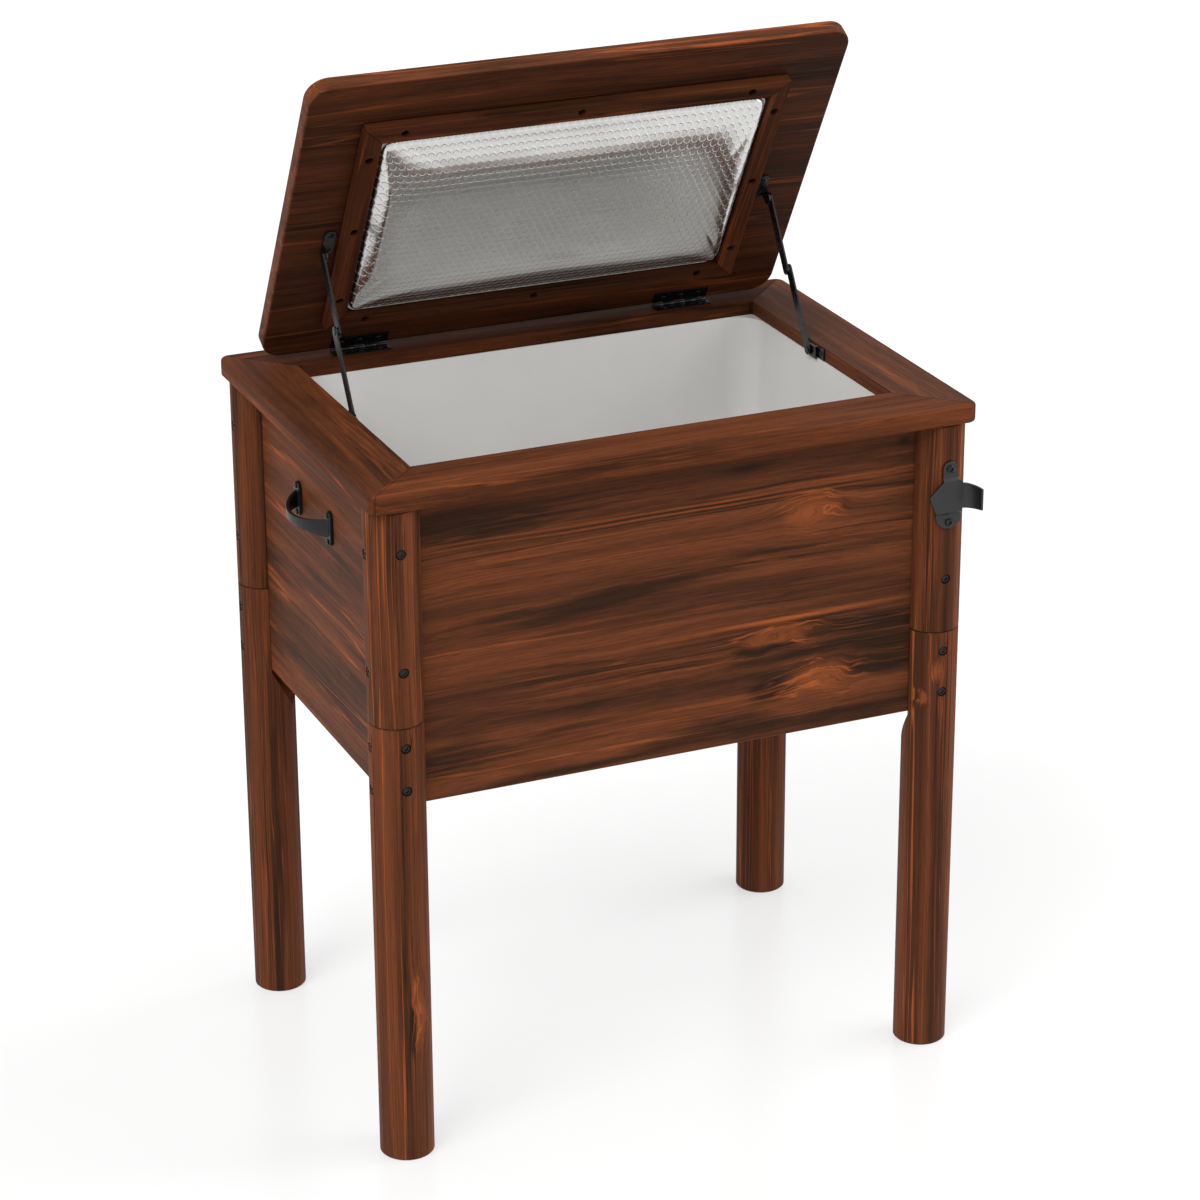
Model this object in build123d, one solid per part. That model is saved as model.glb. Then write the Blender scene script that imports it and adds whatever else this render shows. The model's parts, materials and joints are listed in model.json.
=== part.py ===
from build123d import *

import math
import os
from collections import namedtuple

# Outdoor drinks cooler: an insulated wooden box on four round legs, with a lid on two butt hinges
# that two folding stays hold open.
# Millimetres, +Z up, +X to the right, +Y to the back. The origin is on the floor, midway between the legs.
# The lid is drawn shut about its hinge axis and then swung open to its rest angle.

# Rim: four mitred boards round the opening
RIM_TOP = 780.0
RIM_LENGTH = 700.0
RIM_DEPTH = 490.0
RIM_BOARD = 70.0
RIM_THICK = 22.0
RIM_CORNER_R = 12.0
RIM_EDGE_R = 4.0
RIM_LIP = 15.5
RIM_REBATE = 9.5

# Corner posts and the legs under them
LEG_R = 30.0
RIM_OVERHANG = 3.0
SEAM_RISE = 100.0
END_CHAMFER = 1.5
NOTCH_DROP = 4.0
NOTCH_RAMP = 28.7

# Walls and floor of the box
PANEL_PROUD = 5.0
PANEL_T = 15.0
PANEL_HEIGHT = 342.0
PANEL_EDGE = 1.5
FLOOR_RECESS = 8.0
FLOOR_T = 12.0
FOAM_FLOOR_T = 22.0

# Liner: a tapered tub that hangs by its rolled lip under the rim
LINER_INSET = 1.5
LINER_WALL = 2.5
LINER_DRAFT = 1.5
LINER_CORNER_R = 36.0
LINER_LIP_CLEAR = 0.5
LINER_FLOOR_R = 8.0

# Drain through the floor of the liner
DRAIN_X = 180.0
DRAIN_Y = 90.0
SPOUT_R = 12.0
SPOUT_BORE_R = 8.0
SPOUT_FLANGE_R = 22.0
SPOUT_FLANGE_T = 3.0
SPOUT_DROP = 22.0
NUT_T = 8.0
NUT_R = 19.0
PLUG_STEM = 18.0
PLUG_FLANGE_R = 13.0
PLUG_FLANGE_T = 5.0
PLUG_GRIP_R = 7.0
PLUG_GRIP = 9.0

# Lid: one board, with a mitred frame and a foil pad under it
LID_INSET = 36.0
LID_T = 19.0
LID_CORNER_R = 25.0
LID_EDGE_R = 3.0
LID_OPEN = 60.0
FRAME_SIDE_GAP = 4.0
FRAME_FRONT_GAP = 22.0
FRAME_BOARD = 22.0
FRAME_T = 12.0
FRAME_EDGE_R = 1.5
FRAME_BACK = 46.0
PAD_GAP = 0.5
LID_FOAM_T = 6.0
PAD_CROWN = 20.0
PAD_CORNER_R = 14.0
# How far each section of the pad is drawn in, and the share of the crown it has reached
PAD_SECTIONS = (
    (0.0, 0.0),
    (1.0, 0.20),
    (4.0, 0.33),
    (14.0, 0.51),
    (26.0, 0.70),
    (38.0, 0.84),
    (56.0, 0.95),
    (90.0, 1.0),
)

# Butt hinges
HINGE_INSET = 82.0
HINGE_BACK = 43.0
HINGE_LENGTH = 68.0
HINGE_R = 2.0
HINGE_LIFT = 0.2
HINGE_PIN_R = 1.0
HINGE_LEAF_T = 1.2
HINGE_LID_LEAF = 18.0
HINGE_BOX_LEAF = 15.0
HINGE_KNUCKLES = 5
HINGE_END_GAP = 0.2
HINGE_FINGER_GAP = 0.6
HINGE_SCREW_STEP = 22.0

# Folding stays, straight when the lid is open
STAY_SHEET = 2.0
STAY_BAR = 12.0
STAY_WASHER = 1.0
STAY_ELBOW_GAP = 2.0
STAY_JOGGLE = 3.0
STAY_UPPER = 85.0
STAY_LID_V = 168.0
STAY_LID_DROP = 8.0
STAY_BOX_Y = 17.0
STAY_BOX_DROP = 9.0
STAY_PIN_R = 2.5
STAY_HEAD_R = 4.0
STAY_HEAD = 0.7
STAY_BASE = 14.0
STAY_BASE_LENGTH = 34.0
STAY_EAR_R = 7.0
STAY_BRACKET_FRONT = 30.0
STAY_BRACKET_HEIGHT = 13.0

# Pull handles on the two ends
HANDLE_Y = 10.0
HANDLE_DROP = 88.0
HANDLE_SPAN = 100.0
HANDLE_BOW = 26.0
HANDLE_BAND = 4.0
HANDLE_WAIST = 9.5
HANDLE_ROOT = 22.0
HANDLE_TAB = 8.5
HANDLE_FOOT_W = 16.0
HANDLE_FOOT_T = 4.0

# Bottle opener on the front right post
OPENER_SCREW_STEP = 62.0
OPENER_SHEET = 2.5
OPENER_RAISE = 3.0
OPENER_TAB_R = 8.5
OPENER_CHIN_R = 16.5
OPENER_CHIN_DROP = 52.5
OPENER_BROW_DROP = 10.0
OPENER_POINT_X = 26.0
OPENER_POINT_DROP = 29.0
OPENER_BEND_X = 14.5
OPENER_BEND_R = 7.0
OPENER_BEND = 50.0
OPENER_CURL_R = 34.0
OPENER_CURL = 35.0
OPENER_LIP_DROP = 17.0
OPENER_LIP_HEIGHT = 30.0
OPENER_LIP_TAPER = 3.0

# Fasteners
POST_SCREW_DROP = 49.0
POST_SCREW_RISE = 61.0
LEG_SCREW_DROP = 25.0
LEG_SCREW_RISE = 26.0
SCREW_STAGGER = 4.6
POST_SCREW_SINK = 3.0
FRAME_SCREW_SINK = 5.0
FRAME_SCREW_INSET = 46.0
SCREW_CLEAR = 0.2
SEAT_CLEAR = 0.7
RUN_CLEAR = 0.05
THREAD_CLEAR = 0.1

Screw = namedtuple("Screw", "head_r head_h shank_r length")
Place = namedtuple("Place", "point direction")

POST_SCREW = Screw(5.0, 2.6, 1.8, 34.0)
OPENER_SCREW = Screw(4.5, 2.2, 1.8, 24.0)
HANDLE_SCREW = Screw(3.5, 1.8, 1.7, 16.0)
HINGE_SCREW = Screw(3.0, 0.7, 1.4, 12.0)
STAY_SCREW = Screw(3.2, 1.0, 1.4, 12.0)
FRAME_SCREW = Screw(4.1, 2.2, 1.6, 16.0)

# Places that follow from the sizes above
RIM_UNDER = RIM_TOP - RIM_THICK
PANEL_BOTTOM = RIM_UNDER - PANEL_HEIGHT
SEAM_Z = PANEL_BOTTOM + SEAM_RISE
LINER_TOP = RIM_TOP - RIM_LIP
OPEN_X = RIM_LENGTH / 2 - RIM_BOARD
OPEN_Y = RIM_DEPTH / 2 - RIM_BOARD
LEG_X = RIM_LENGTH / 2 - RIM_OVERHANG - LEG_R
LEG_Y = RIM_DEPTH / 2 - RIM_OVERHANG - LEG_R
WALL_X = LEG_X + PANEL_PROUD
WALL_Y = LEG_Y + PANEL_PROUD
ROOM_X = WALL_X - PANEL_T
ROOM_Y = WALL_Y - PANEL_T
FLOOR_Z = PANEL_BOTTOM + FLOOR_RECESS
FOAM_Z = FLOOR_Z + FLOOR_T
LINER_Z = FOAM_Z + FOAM_FLOOR_T
SPOUT_END = FLOOR_Z - SPOUT_DROP
NOTCH_RAMP_HEIGHT = (LEG_R + PANEL_PROUD) / math.tan(math.radians(NOTCH_RAMP))
STAY_PLATE_X = OPEN_X - STAY_JOGGLE - STAY_SHEET
STAY_LOWER_X = STAY_PLATE_X - STAY_WASHER - STAY_SHEET
STAY_UPPER_X = STAY_LOWER_X - STAY_ELBOW_GAP - STAY_SHEET
STAY_EAR_X = STAY_UPPER_X - STAY_WASHER - STAY_SHEET
STAY_BOX_Z = RIM_TOP - STAY_BOX_DROP
HINGE_RISE = HINGE_R + HINGE_LIFT
HINGE_X = OPEN_X - HINGE_INSET
HINGE_Y = RIM_DEPTH / 2 - HINGE_BACK
HINGE_Z = RIM_TOP + HINGE_RISE
LID_LENGTH = RIM_LENGTH - 2 * LID_INSET
LID_DEPTH = HINGE_Y + RIM_DEPTH / 2 - LID_INSET
FRAME_LENGTH = 2 * (STAY_EAR_X + STAY_SHEET - STAY_BASE - FRAME_SIDE_GAP)
FRAME_DEPTH = HINGE_Y - FRAME_BACK + OPEN_Y - FRAME_FRONT_GAP
FRAME_FACE = HINGE_RISE - FRAME_T
FRAME_MID = -(FRAME_BACK + FRAME_DEPTH / 2)
POST_SCREW_Z = (RIM_UNDER - POST_SCREW_DROP, SEAM_Z + POST_SCREW_RISE)
LEG_SCREW_Z = (SEAM_Z - LEG_SCREW_DROP, PANEL_BOTTOM + LEG_SCREW_RISE)
HANDLE_Z = RIM_UNDER - HANDLE_DROP
HANDLE_FOOT = HANDLE_ROOT + 2 * HANDLE_TAB
OPENER_FACE = -(LEG_Y + LEG_R)
OPENER_TOP_Z = POST_SCREW_Z[0]
OPENER_BOTTOM_Z = OPENER_TOP_Z - OPENER_SCREW_STEP
OPENER_BROW_Z = OPENER_TOP_Z - OPENER_BROW_DROP
OPENER_CHIN_Z = OPENER_TOP_Z - OPENER_CHIN_DROP
OPENER_POINT_Z = OPENER_TOP_Z - OPENER_POINT_DROP
OPENER_LIP_TOP = OPENER_TOP_Z - OPENER_LIP_DROP
OPENER_LIP_BOTTOM = OPENER_LIP_TOP - OPENER_LIP_HEIGHT

LID_SWING = Pos(0, HINGE_Y, HINGE_Z) * Rot(-LID_OPEN, 0, 0)
SIDES = {"left": -1, "right": 1}
CORNERS = {
    "front_left": (-1, -1),
    "front_right": (1, -1),
    "back_left": (-1, 1),
    "back_right": (1, 1),
}


def slab(x0, x1, y0, y1, z0, z1):
    """A block between two opposite corners."""
    return Pos((x0 + x1) / 2, (y0 + y1) / 2, (z0 + z1) / 2) * Box(x1 - x0, y1 - y0, z1 - z0)


def rod(point, direction, length, radius):
    """A round bar from a point along a direction."""
    return extrude(Plane(origin=point, z_dir=direction) * Circle(radius), length)


def turned(*outline):
    """A solid of revolution about Z from (radius, height) points."""
    return revolve(Plane.XZ * make_face(Polyline(*outline, close=True)), Axis.Z)


def plate_at(x, profile, thickness):
    """A plate drawn in (y, z), with its low-x face at x."""
    return extrude(Plane.YZ.offset(x) * profile, thickness)


def screw(kind, place):
    """A pan-head screw with the underside of its head at the place."""
    head_r, head_h, shank_r, length = kind
    solid = turned(
        (0, -head_h),
        (0.65 * head_r, -head_h),
        (head_r, -0.45 * head_h),
        (head_r, 0),
        (shank_r, 0),
        (shank_r, length - shank_r),
        (0, length),
    )
    return Plane(origin=place.point, z_dir=place.direction) * solid


def bore(kind, place, seat=0.0):
    """The clearance hole for a screw, with a round seat of the given depth for its head."""
    hole = rod(place.point, place.direction, kind.length + SCREW_CLEAR, kind.shank_r + SCREW_CLEAR)
    if seat:
        outward = tuple(-c for c in place.direction)
        hole += rod(place.point, outward, seat, kind.head_r + SEAT_CLEAR)
    return hole


def screws(kind, places):
    return Compound(children=[screw(kind, place) for place in places])


def bored(piece, kind, places, seat=0.0):
    """The piece with a hole for each screw."""
    for place in places:
        piece -= bore(kind, place, seat)
    return piece


def mirrored(shape, side):
    """The shape drawn for the right-hand side, or its mirror image."""
    return shape if side > 0 else mirror(shape, about=Plane.YZ)


def rounded_block(length, depth, height, corner_r, edge_r):
    """A board centred on the origin in plan, standing on z = 0, with softened edges."""
    block = extrude(RectangleRounded(length, depth, corner_r), height)
    levels = block.faces().sort_by(Axis.Z)
    return fillet(levels[0].edges() + levels[-1].edges(), edge_r)


def mitred_frame(length, depth, board, height, corner_r, edge_r):
    """Four boards mitred at the corners, as a dictionary by side."""
    ring = rounded_block(length, depth, height, corner_r, edge_r)
    ring -= slab(
        board - length / 2, length / 2 - board, board - depth / 2, depth / 2 - board, -height, 2 * height
    )
    x1, y1 = length / 2, depth / 2
    x0, y0 = x1 - board, y1 - board
    wedges = {
        "front": ((-x1, -y1), (x1, -y1), (x0, -y0), (-x0, -y0)),
        "back": ((-x1, y1), (-x0, y0), (x0, y0), (x1, y1)),
        "left": ((-x1, -y1), (-x0, -y0), (-x0, y0), (-x1, y1)),
        "right": ((x1, -y1), (x1, y1), (x0, y0), (x0, -y0)),
    }
    return {side: ring & extrude(make_face(Polyline(*w, close=True)), height) for side, w in wedges.items()}


def post_screw_places(sx, sy, levels):
    """Screws into one post: half from the front or back, half from the end, a little staggered in height."""
    places = []
    for z in levels:
        reach = LEG_R - POST_SCREW_SINK
        faced = Place((sx * LEG_X, sy * (LEG_Y + reach), z + SCREW_STAGGER / 2), (0, -sy, 0))
        ended = Place((sx * (LEG_X + reach), sy * LEG_Y, z - SCREW_STAGGER / 2), (-sx, 0, 0))
        places += [faced, ended]
    return places


def opener_screw_places():
    face = OPENER_FACE - OPENER_SHEET
    return [Place((LEG_X, face, z), (0, 1, 0)) for z in (OPENER_TOP_Z, OPENER_BOTTOM_Z)]


def upper_places(sx, sy):
    """Screws of one upper post. On the front right one the opener takes the top place on the front."""
    places = post_screw_places(sx, sy, POST_SCREW_Z)
    return places[1:] if (sx, sy) == CORNERS["front_right"] else places


def lower_places(sx, sy):
    return post_screw_places(sx, sy, LEG_SCREW_Z)


def notch(sx, sy):
    """What the corner of the box takes out of a post, running out below the box in a steep ramp."""
    size = 3 * LEG_R
    middle = Pos(sx * (WALL_X - size / 2), sy * (WALL_Y - size / 2), PANEL_BOTTOM - NOTCH_DROP)
    square = Rectangle(size, size)
    upper = extrude(square, RIM_TOP - PANEL_BOTTOM)
    lower = extrude(square, -NOTCH_RAMP_HEIGHT, taper=NOTCH_RAMP)
    return middle * (upper + lower)


def round_post(sx, sy, z0, z1):
    """A round post with softened ends, notched to hold the corner of the box."""
    post = Pos(sx * LEG_X, sy * LEG_Y, z0) * extrude(Circle(LEG_R), z1 - z0)
    ends = post.edges().filter_by(GeomType.CIRCLE)
    return chamfer(ends, END_CHAMFER) - notch(sx, sy)


def corner_post(sx, sy):
    post = bored(round_post(sx, sy, SEAM_Z, RIM_UNDER), POST_SCREW, upper_places(sx, sy), 2 * POST_SCREW_SINK)
    if (sx, sy) == CORNERS["front_right"]:
        post = bored(post, OPENER_SCREW, opener_screw_places())
    return post


def leg(sx, sy):
    return bored(round_post(sx, sy, 0, SEAM_Z), POST_SCREW, lower_places(sx, sy), 2 * POST_SCREW_SINK)


def long_panel(sy):
    """The front or back wall, as wide as the box, with the screws of its two posts in it."""
    y0, y1 = sorted((sy * WALL_Y, sy * ROOM_Y))
    panel = slab(-WALL_X, WALL_X, y0, y1, PANEL_BOTTOM, RIM_UNDER)
    panel = chamfer(panel.edges().filter_by(Axis.X).group_by(Axis.Z)[0], PANEL_EDGE)
    for sx in SIDES.values():
        panel = bored(panel, POST_SCREW, upper_places(sx, sy) + lower_places(sx, sy))
    if sy < 0:
        panel = bored(panel, OPENER_SCREW, opener_screw_places())
    return panel


def handle_screw_places(sx):
    places = []
    for foot in (-1, 1):
        for end in (-1, 1):
            y = HANDLE_Y + foot * HANDLE_SPAN / 2
            z = HANDLE_Z + end * (HANDLE_FOOT - HANDLE_TAB) / 2
            places.append(Place((sx * (WALL_X + HANDLE_FOOT_T), y, z), (-sx, 0, 0)))
    return places


def end_panel(sx):
    """A short wall between the front and back ones, with the holes for its handle."""
    x0, x1 = sorted((sx * WALL_X, sx * ROOM_X))
    panel = slab(x0, x1, -ROOM_Y, ROOM_Y, PANEL_BOTTOM, RIM_UNDER)
    panel = chamfer(panel.edges().filter_by(Axis.Y).group_by(Axis.Z)[0], PANEL_EDGE)
    return bored(panel, HANDLE_SCREW, handle_screw_places(sx))


def hinge_screw_places(z, depth):
    """Screws of one leaf, about the middle of its hinge's pin, into what lies on the leaf's outer side."""
    steps = (-HINGE_SCREW_STEP, 0, HINGE_SCREW_STEP)
    way = 1 if z > 0 else -1
    return [Place((x, -(depth + HINGE_R) / 2, z), (0, 0, way)) for x in steps]


def box_hinge_places():
    z = HINGE_LEAF_T - HINGE_RISE
    local = hinge_screw_places(z, HINGE_BOX_LEAF)
    return [
        Place((side * HINGE_X + p.point[0], HINGE_Y + p.point[1], HINGE_Z + p.point[2]), p.direction)
        for side in SIDES.values()
        for p in local
    ]


def lid_hinge_places():
    """In the frame of the shut lid, as all places on the lid are."""
    local = hinge_screw_places(HINGE_RISE - HINGE_LEAF_T, HINGE_LID_LEAF)
    return [
        Place((side * HINGE_X + p.point[0], p.point[1], p.point[2]), p.direction)
        for side in SIDES.values()
        for p in local
    ]


def stay_box_places():
    y = STAY_BOX_Y - STAY_BRACKET_FRONT + STAY_BASE / 2
    z = RIM_TOP - RIM_LIP / 2
    return [Place((sx * (OPEN_X - STAY_SHEET), y, z), (sx, 0, 0)) for sx in SIDES.values()]


def stay_lid_places():
    x = STAY_EAR_X + STAY_SHEET - STAY_BASE / 2
    z = HINGE_RISE - STAY_SHEET
    back = STAY_LID_V - STAY_BAR / 2
    levels = (back + STAY_BAR / 2, back + STAY_BASE_LENGTH - STAY_BAR / 2)
    return [Place((sx * x, -v, z), (0, 0, 1)) for sx in SIDES.values() for v in levels]


def frame_screw_places():
    """Sunk screws in the lid's frame: three along each long strip and three along each short one."""
    z = FRAME_FACE + FRAME_SCREW_SINK
    rows = FRAME_DEPTH / 2 - FRAME_BOARD / 2
    ends = FRAME_LENGTH / 2 - FRAME_BOARD / 2
    last_x = FRAME_LENGTH / 2 - FRAME_SCREW_INSET
    last_y = FRAME_DEPTH / 2 - FRAME_SCREW_INSET
    spots = [(x, s * rows) for s in (-1, 1) for x in (-last_x, 0, last_x)]
    spots += [(s * ends, y) for s in (-1, 1) for y in (-last_y, 0, last_y)]
    return [Place((x, FRAME_MID + y, z), (0, 0, 1)) for x, y in spots]


def rim_boards():
    """The rim's boards, rebated underneath for the lip of the liner."""
    boards = mitred_frame(RIM_LENGTH, RIM_DEPTH, RIM_BOARD, RIM_THICK, RIM_CORNER_R, RIM_EDGE_R)
    x, y = OPEN_X + RIM_REBATE, OPEN_Y + RIM_REBATE
    rebate = slab(-x, x, -y, y, RIM_UNDER, LINER_TOP)
    boards = {side: Pos(0, 0, RIM_UNDER) * board - rebate for side, board in boards.items()}
    boards["back"] = bored(boards["back"], HINGE_SCREW, box_hinge_places())
    for side, place in zip(SIDES, stay_box_places()):
        boards[side] = bored(boards[side], STAY_SCREW, [place])
    return boards


def tub(inset, floor_z, corner_r):
    """The tapered block inside the liner's wall, or with inset 0 its outside."""
    x = OPEN_X - LINER_INSET + LINER_WALL - inset
    y = OPEN_Y - LINER_INSET + LINER_WALL - inset
    top = Pos(0, 0, LINER_TOP) * RectangleRounded(2 * x, 2 * y, corner_r)
    return extrude(top, floor_z - LINER_TOP, taper=LINER_DRAFT)


def drain_shaft(radius):
    return rod((DRAIN_X, DRAIN_Y, SPOUT_END), (0, 0, 1), RIM_TOP - SPOUT_END, radius)


def liner():
    """A thin tapered tub with a rolled lip, which lies on the insulation and under the rim."""
    lip_x = OPEN_X + RIM_REBATE - LINER_LIP_CLEAR
    lip_y = OPEN_Y + RIM_REBATE - LINER_LIP_CLEAR
    lip = extrude(RectangleRounded(2 * lip_x, 2 * lip_y, LINER_CORNER_R), LINER_TOP - RIM_UNDER)
    hollow = tub(LINER_WALL, LINER_Z + LINER_WALL, LINER_CORNER_R - LINER_WALL)
    hollow = fillet(hollow.faces().sort_by(Axis.Z)[0].edges(), LINER_FLOOR_R)
    shell = tub(0, LINER_Z, LINER_CORNER_R) + Pos(0, 0, RIM_UNDER) * lip
    return shell - hollow - drain_shaft(SPOUT_R + SCREW_CLEAR)


def insulation():
    """Foam boards between the walls and the liner, and one under the liner."""
    split = OPEN_Y - LINER_CORNER_R - LINER_WALL
    core = tub(0, LINER_Z, LINER_CORNER_R)
    boards = {
        "front": slab(-ROOM_X, ROOM_X, -ROOM_Y, -split, LINER_Z, RIM_UNDER) - core,
        "back": slab(-ROOM_X, ROOM_X, split, ROOM_Y, LINER_Z, RIM_UNDER) - core,
        "left": slab(-ROOM_X, 0, -split, split, LINER_Z, RIM_UNDER) - core,
        "right": slab(0, ROOM_X, -split, split, LINER_Z, RIM_UNDER) - core,
    }
    floor = slab(-ROOM_X, ROOM_X, -ROOM_Y, ROOM_Y, FOAM_Z, LINER_Z)
    boards["floor"] = floor - drain_shaft(SPOUT_R + SCREW_CLEAR)
    return boards


def drain_spout():
    """A flanged tube that seals against the liner's floor."""
    seat = LINER_Z + LINER_WALL
    top = seat + SPOUT_FLANGE_T
    tube = turned(
        (SPOUT_BORE_R, top),
        (SPOUT_FLANGE_R - SPOUT_FLANGE_T, top),
        (SPOUT_FLANGE_R, seat),
        (SPOUT_R, seat),
        (SPOUT_R, SPOUT_END),
        (SPOUT_BORE_R, SPOUT_END),
    )
    return Pos(DRAIN_X, DRAIN_Y, 0) * tube


def drain_nut():
    nut = RegularPolygon(NUT_R, 6) - Circle(SPOUT_R + THREAD_CLEAR)
    return Pos(DRAIN_X, DRAIN_Y, FLOOR_Z - NUT_T) * extrude(nut, NUT_T)


def drain_plug():
    """A rubber bung that is pushed into the end of the spout from below."""
    stem_r = SPOUT_BORE_R - RUN_CLEAR
    neck_r = PLUG_GRIP_R / 2
    flange = SPOUT_END - PLUG_FLANGE_T
    bung = turned(
        (0, flange - PLUG_GRIP),
        (PLUG_GRIP_R, flange - PLUG_GRIP),
        (PLUG_GRIP_R, flange - PLUG_GRIP / 2),
        (neck_r, flange - PLUG_GRIP / 4),
        (neck_r, flange),
        (PLUG_FLANGE_R, flange),
        (PLUG_FLANGE_R, SPOUT_END),
        (stem_r, SPOUT_END),
        (stem_r, SPOUT_END + PLUG_STEM),
        (0, SPOUT_END + PLUG_STEM),
    )
    return Pos(DRAIN_X, DRAIN_Y, 0) * bung


def handle(sx):
    """A cast pull: a bowed band, waisted in the middle, between two upright feet."""
    half = HANDLE_SPAN / 2
    root = HANDLE_FOOT_T / 2
    radius = (half**2 + HANDLE_BOW**2) / (2 * HANDLE_BOW)
    centre = root + HANDLE_BOW - radius
    ring = Circle(radius + HANDLE_BAND / 2) - Circle(radius - HANDLE_BAND / 2)
    band = Pos(centre, 0, -HANDLE_ROOT) * extrude(ring, 2 * HANDLE_ROOT)
    reach = half + HANDLE_BAND
    upper = ThreePointArc((-reach, HANDLE_ROOT / 2), (0, HANDLE_WAIST / 2), (reach, HANDLE_ROOT / 2))
    lower = ThreePointArc((reach, -HANDLE_ROOT / 2), (0, -HANDLE_WAIST / 2), (-reach, -HANDLE_ROOT / 2))
    sides = [Line(upper @ 1, lower @ 0), Line(lower @ 1, upper @ 0)]
    band &= plate_at(root, make_face([upper, lower] + sides), 2 * HANDLE_BOW)
    pull = band
    for foot in (-1, 1):
        pull += plate_at(0, Pos(foot * half, 0) * SlotOverall(HANDLE_FOOT, HANDLE_FOOT_W, 90), HANDLE_FOOT_T)
    pull = Pos(WALL_X, HANDLE_Y, HANDLE_Z) * pull
    return bored(mirrored(pull, sx), HANDLE_SCREW, handle_screw_places(sx))


def opener_body():
    """The pressed plate: two tabs on the post and a raised middle that comes to a point on the left."""
    t = OPENER_SHEET
    side = Polyline(
        (0, OPENER_TOP_Z + OPENER_TAB_R),
        (0, OPENER_BROW_Z),
        (OPENER_RAISE, OPENER_BROW_Z - OPENER_RAISE),
        (OPENER_RAISE, OPENER_CHIN_Z + OPENER_RAISE),
        (0, OPENER_CHIN_Z),
        (0, OPENER_CHIN_Z - OPENER_CHIN_R),
    )
    front = [Vector(p.X + t, p.Y) for p in reversed(side.vertices())]
    section = make_face(Polyline(*side.vertices(), *front, close=True))
    length = OPENER_POINT_X + OPENER_BEND_X
    sheet = plate_at(-OPENER_POINT_X, mirror(section, about=Plane.YZ), length)
    neck = OPENER_TAB_R
    outline = make_face(
        Polyline(
            (-neck, OPENER_TOP_Z),
            (-neck, OPENER_BROW_Z - OPENER_RAISE),
            (-OPENER_POINT_X, OPENER_POINT_Z),
            (-OPENER_CHIN_R, OPENER_CHIN_Z),
            (OPENER_CHIN_R, OPENER_CHIN_Z),
            (OPENER_CHIN_R, OPENER_LIP_TOP),
            (neck, OPENER_BROW_Z),
            (neck, OPENER_TOP_Z),
            close=True,
        )
    )
    outline += Pos(0, OPENER_TOP_Z) * Circle(neck) + Pos(0, OPENER_CHIN_Z) * Circle(OPENER_CHIN_R)
    return sheet & extrude(Plane.XZ * outline, 2 * (OPENER_RAISE + t))


def opener_lip():
    """The right-hand wing, bent forward and curled to catch a cap."""
    t = OPENER_SHEET
    bend = JernArc((OPENER_BEND_X, OPENER_RAISE + t / 2), (1, 0), OPENER_BEND_R, OPENER_BEND)
    curl = JernArc(bend @ 1, bend % 1, OPENER_CURL_R, OPENER_CURL)
    strip = trace(Wire([bend, curl]), t)
    height = OPENER_LIP_TOP - OPENER_LIP_BOTTOM
    wing = Pos(0, 0, OPENER_LIP_BOTTOM) * mirror(extrude(strip, height), about=Plane.XZ)
    reach = (curl @ 1).Y + t
    taper = make_face(
        Polyline(
            (0, OPENER_LIP_BOTTOM),
            (0, OPENER_LIP_TOP),
            (-reach, OPENER_LIP_TOP - OPENER_LIP_TAPER),
            (-reach, OPENER_LIP_BOTTOM + OPENER_LIP_TAPER),
            close=True,
        )
    )
    return wing & plate_at(0, taper, 2 * OPENER_CURL_R)


def bottle_opener():
    opener = Pos(LEG_X, OPENER_FACE, 0) * (opener_body() + opener_lip())
    return bored(opener, OPENER_SCREW, opener_screw_places())


def hinge_leaf(depth, knuckles, way):
    """One leaf about the pin's axis. way is -1 for the leaf on the rim and 1 for the one on the lid."""
    pitch = HINGE_LENGTH / HINGE_KNUCKLES
    z0, z1 = sorted((way * HINGE_RISE, way * (HINGE_RISE - HINGE_LEAF_T)))
    edge = -(HINGE_R + HINGE_FINGER_GAP)
    leaf = slab(-HINGE_LENGTH / 2, HINGE_LENGTH / 2, -depth, edge, z0, z1)
    for k in knuckles:
        x0 = k * pitch - HINGE_LENGTH / 2 + HINGE_END_GAP / 2
        x1 = x0 + pitch - HINGE_END_GAP
        leaf += slab(x0, x1, edge, 0, z0, z1)
        leaf += rod((x0, 0, 0), (1, 0, 0), x1 - x0, HINGE_R)
    leaf -= rod((-HINGE_LENGTH, 0, 0), (1, 0, 0), 2 * HINGE_LENGTH, HINGE_PIN_R + RUN_CLEAR)
    inner = way * (HINGE_RISE - HINGE_LEAF_T)
    return bored(leaf, HINGE_SCREW, hinge_screw_places(inner, depth))


def hinge_pin():
    return rod((-HINGE_LENGTH / 2, 0, 0), (1, 0, 0), HINGE_LENGTH, HINGE_PIN_R)


def pivot(x0, x1, y, z, radius):
    return rod((x0, y, z), (1, 0, 0), x1 - x0, radius)


def on_lid(v, drop):
    """Where a point of the shut lid, v in front of the hinge axis and drop below it, is at rest: (y, z)."""
    turn = math.radians(LID_OPEN)
    y = HINGE_Y - v * math.cos(turn) - drop * math.sin(turn)
    z = HINGE_Z + v * math.sin(turn) - drop * math.cos(turn)
    return y, z


def stay_points():
    """The stay's pivots at rest: on the lid, at the elbow and on the rim, all in one line."""
    top_y, top_z = on_lid(STAY_LID_V, STAY_LID_DROP)
    run_y, run_z = STAY_BOX_Y - top_y, STAY_BOX_Z - top_z
    share = STAY_UPPER / math.hypot(run_y, run_z)
    return (top_y, top_z), (top_y + share * run_y, top_z + share * run_z), (STAY_BOX_Y, STAY_BOX_Z)


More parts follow.
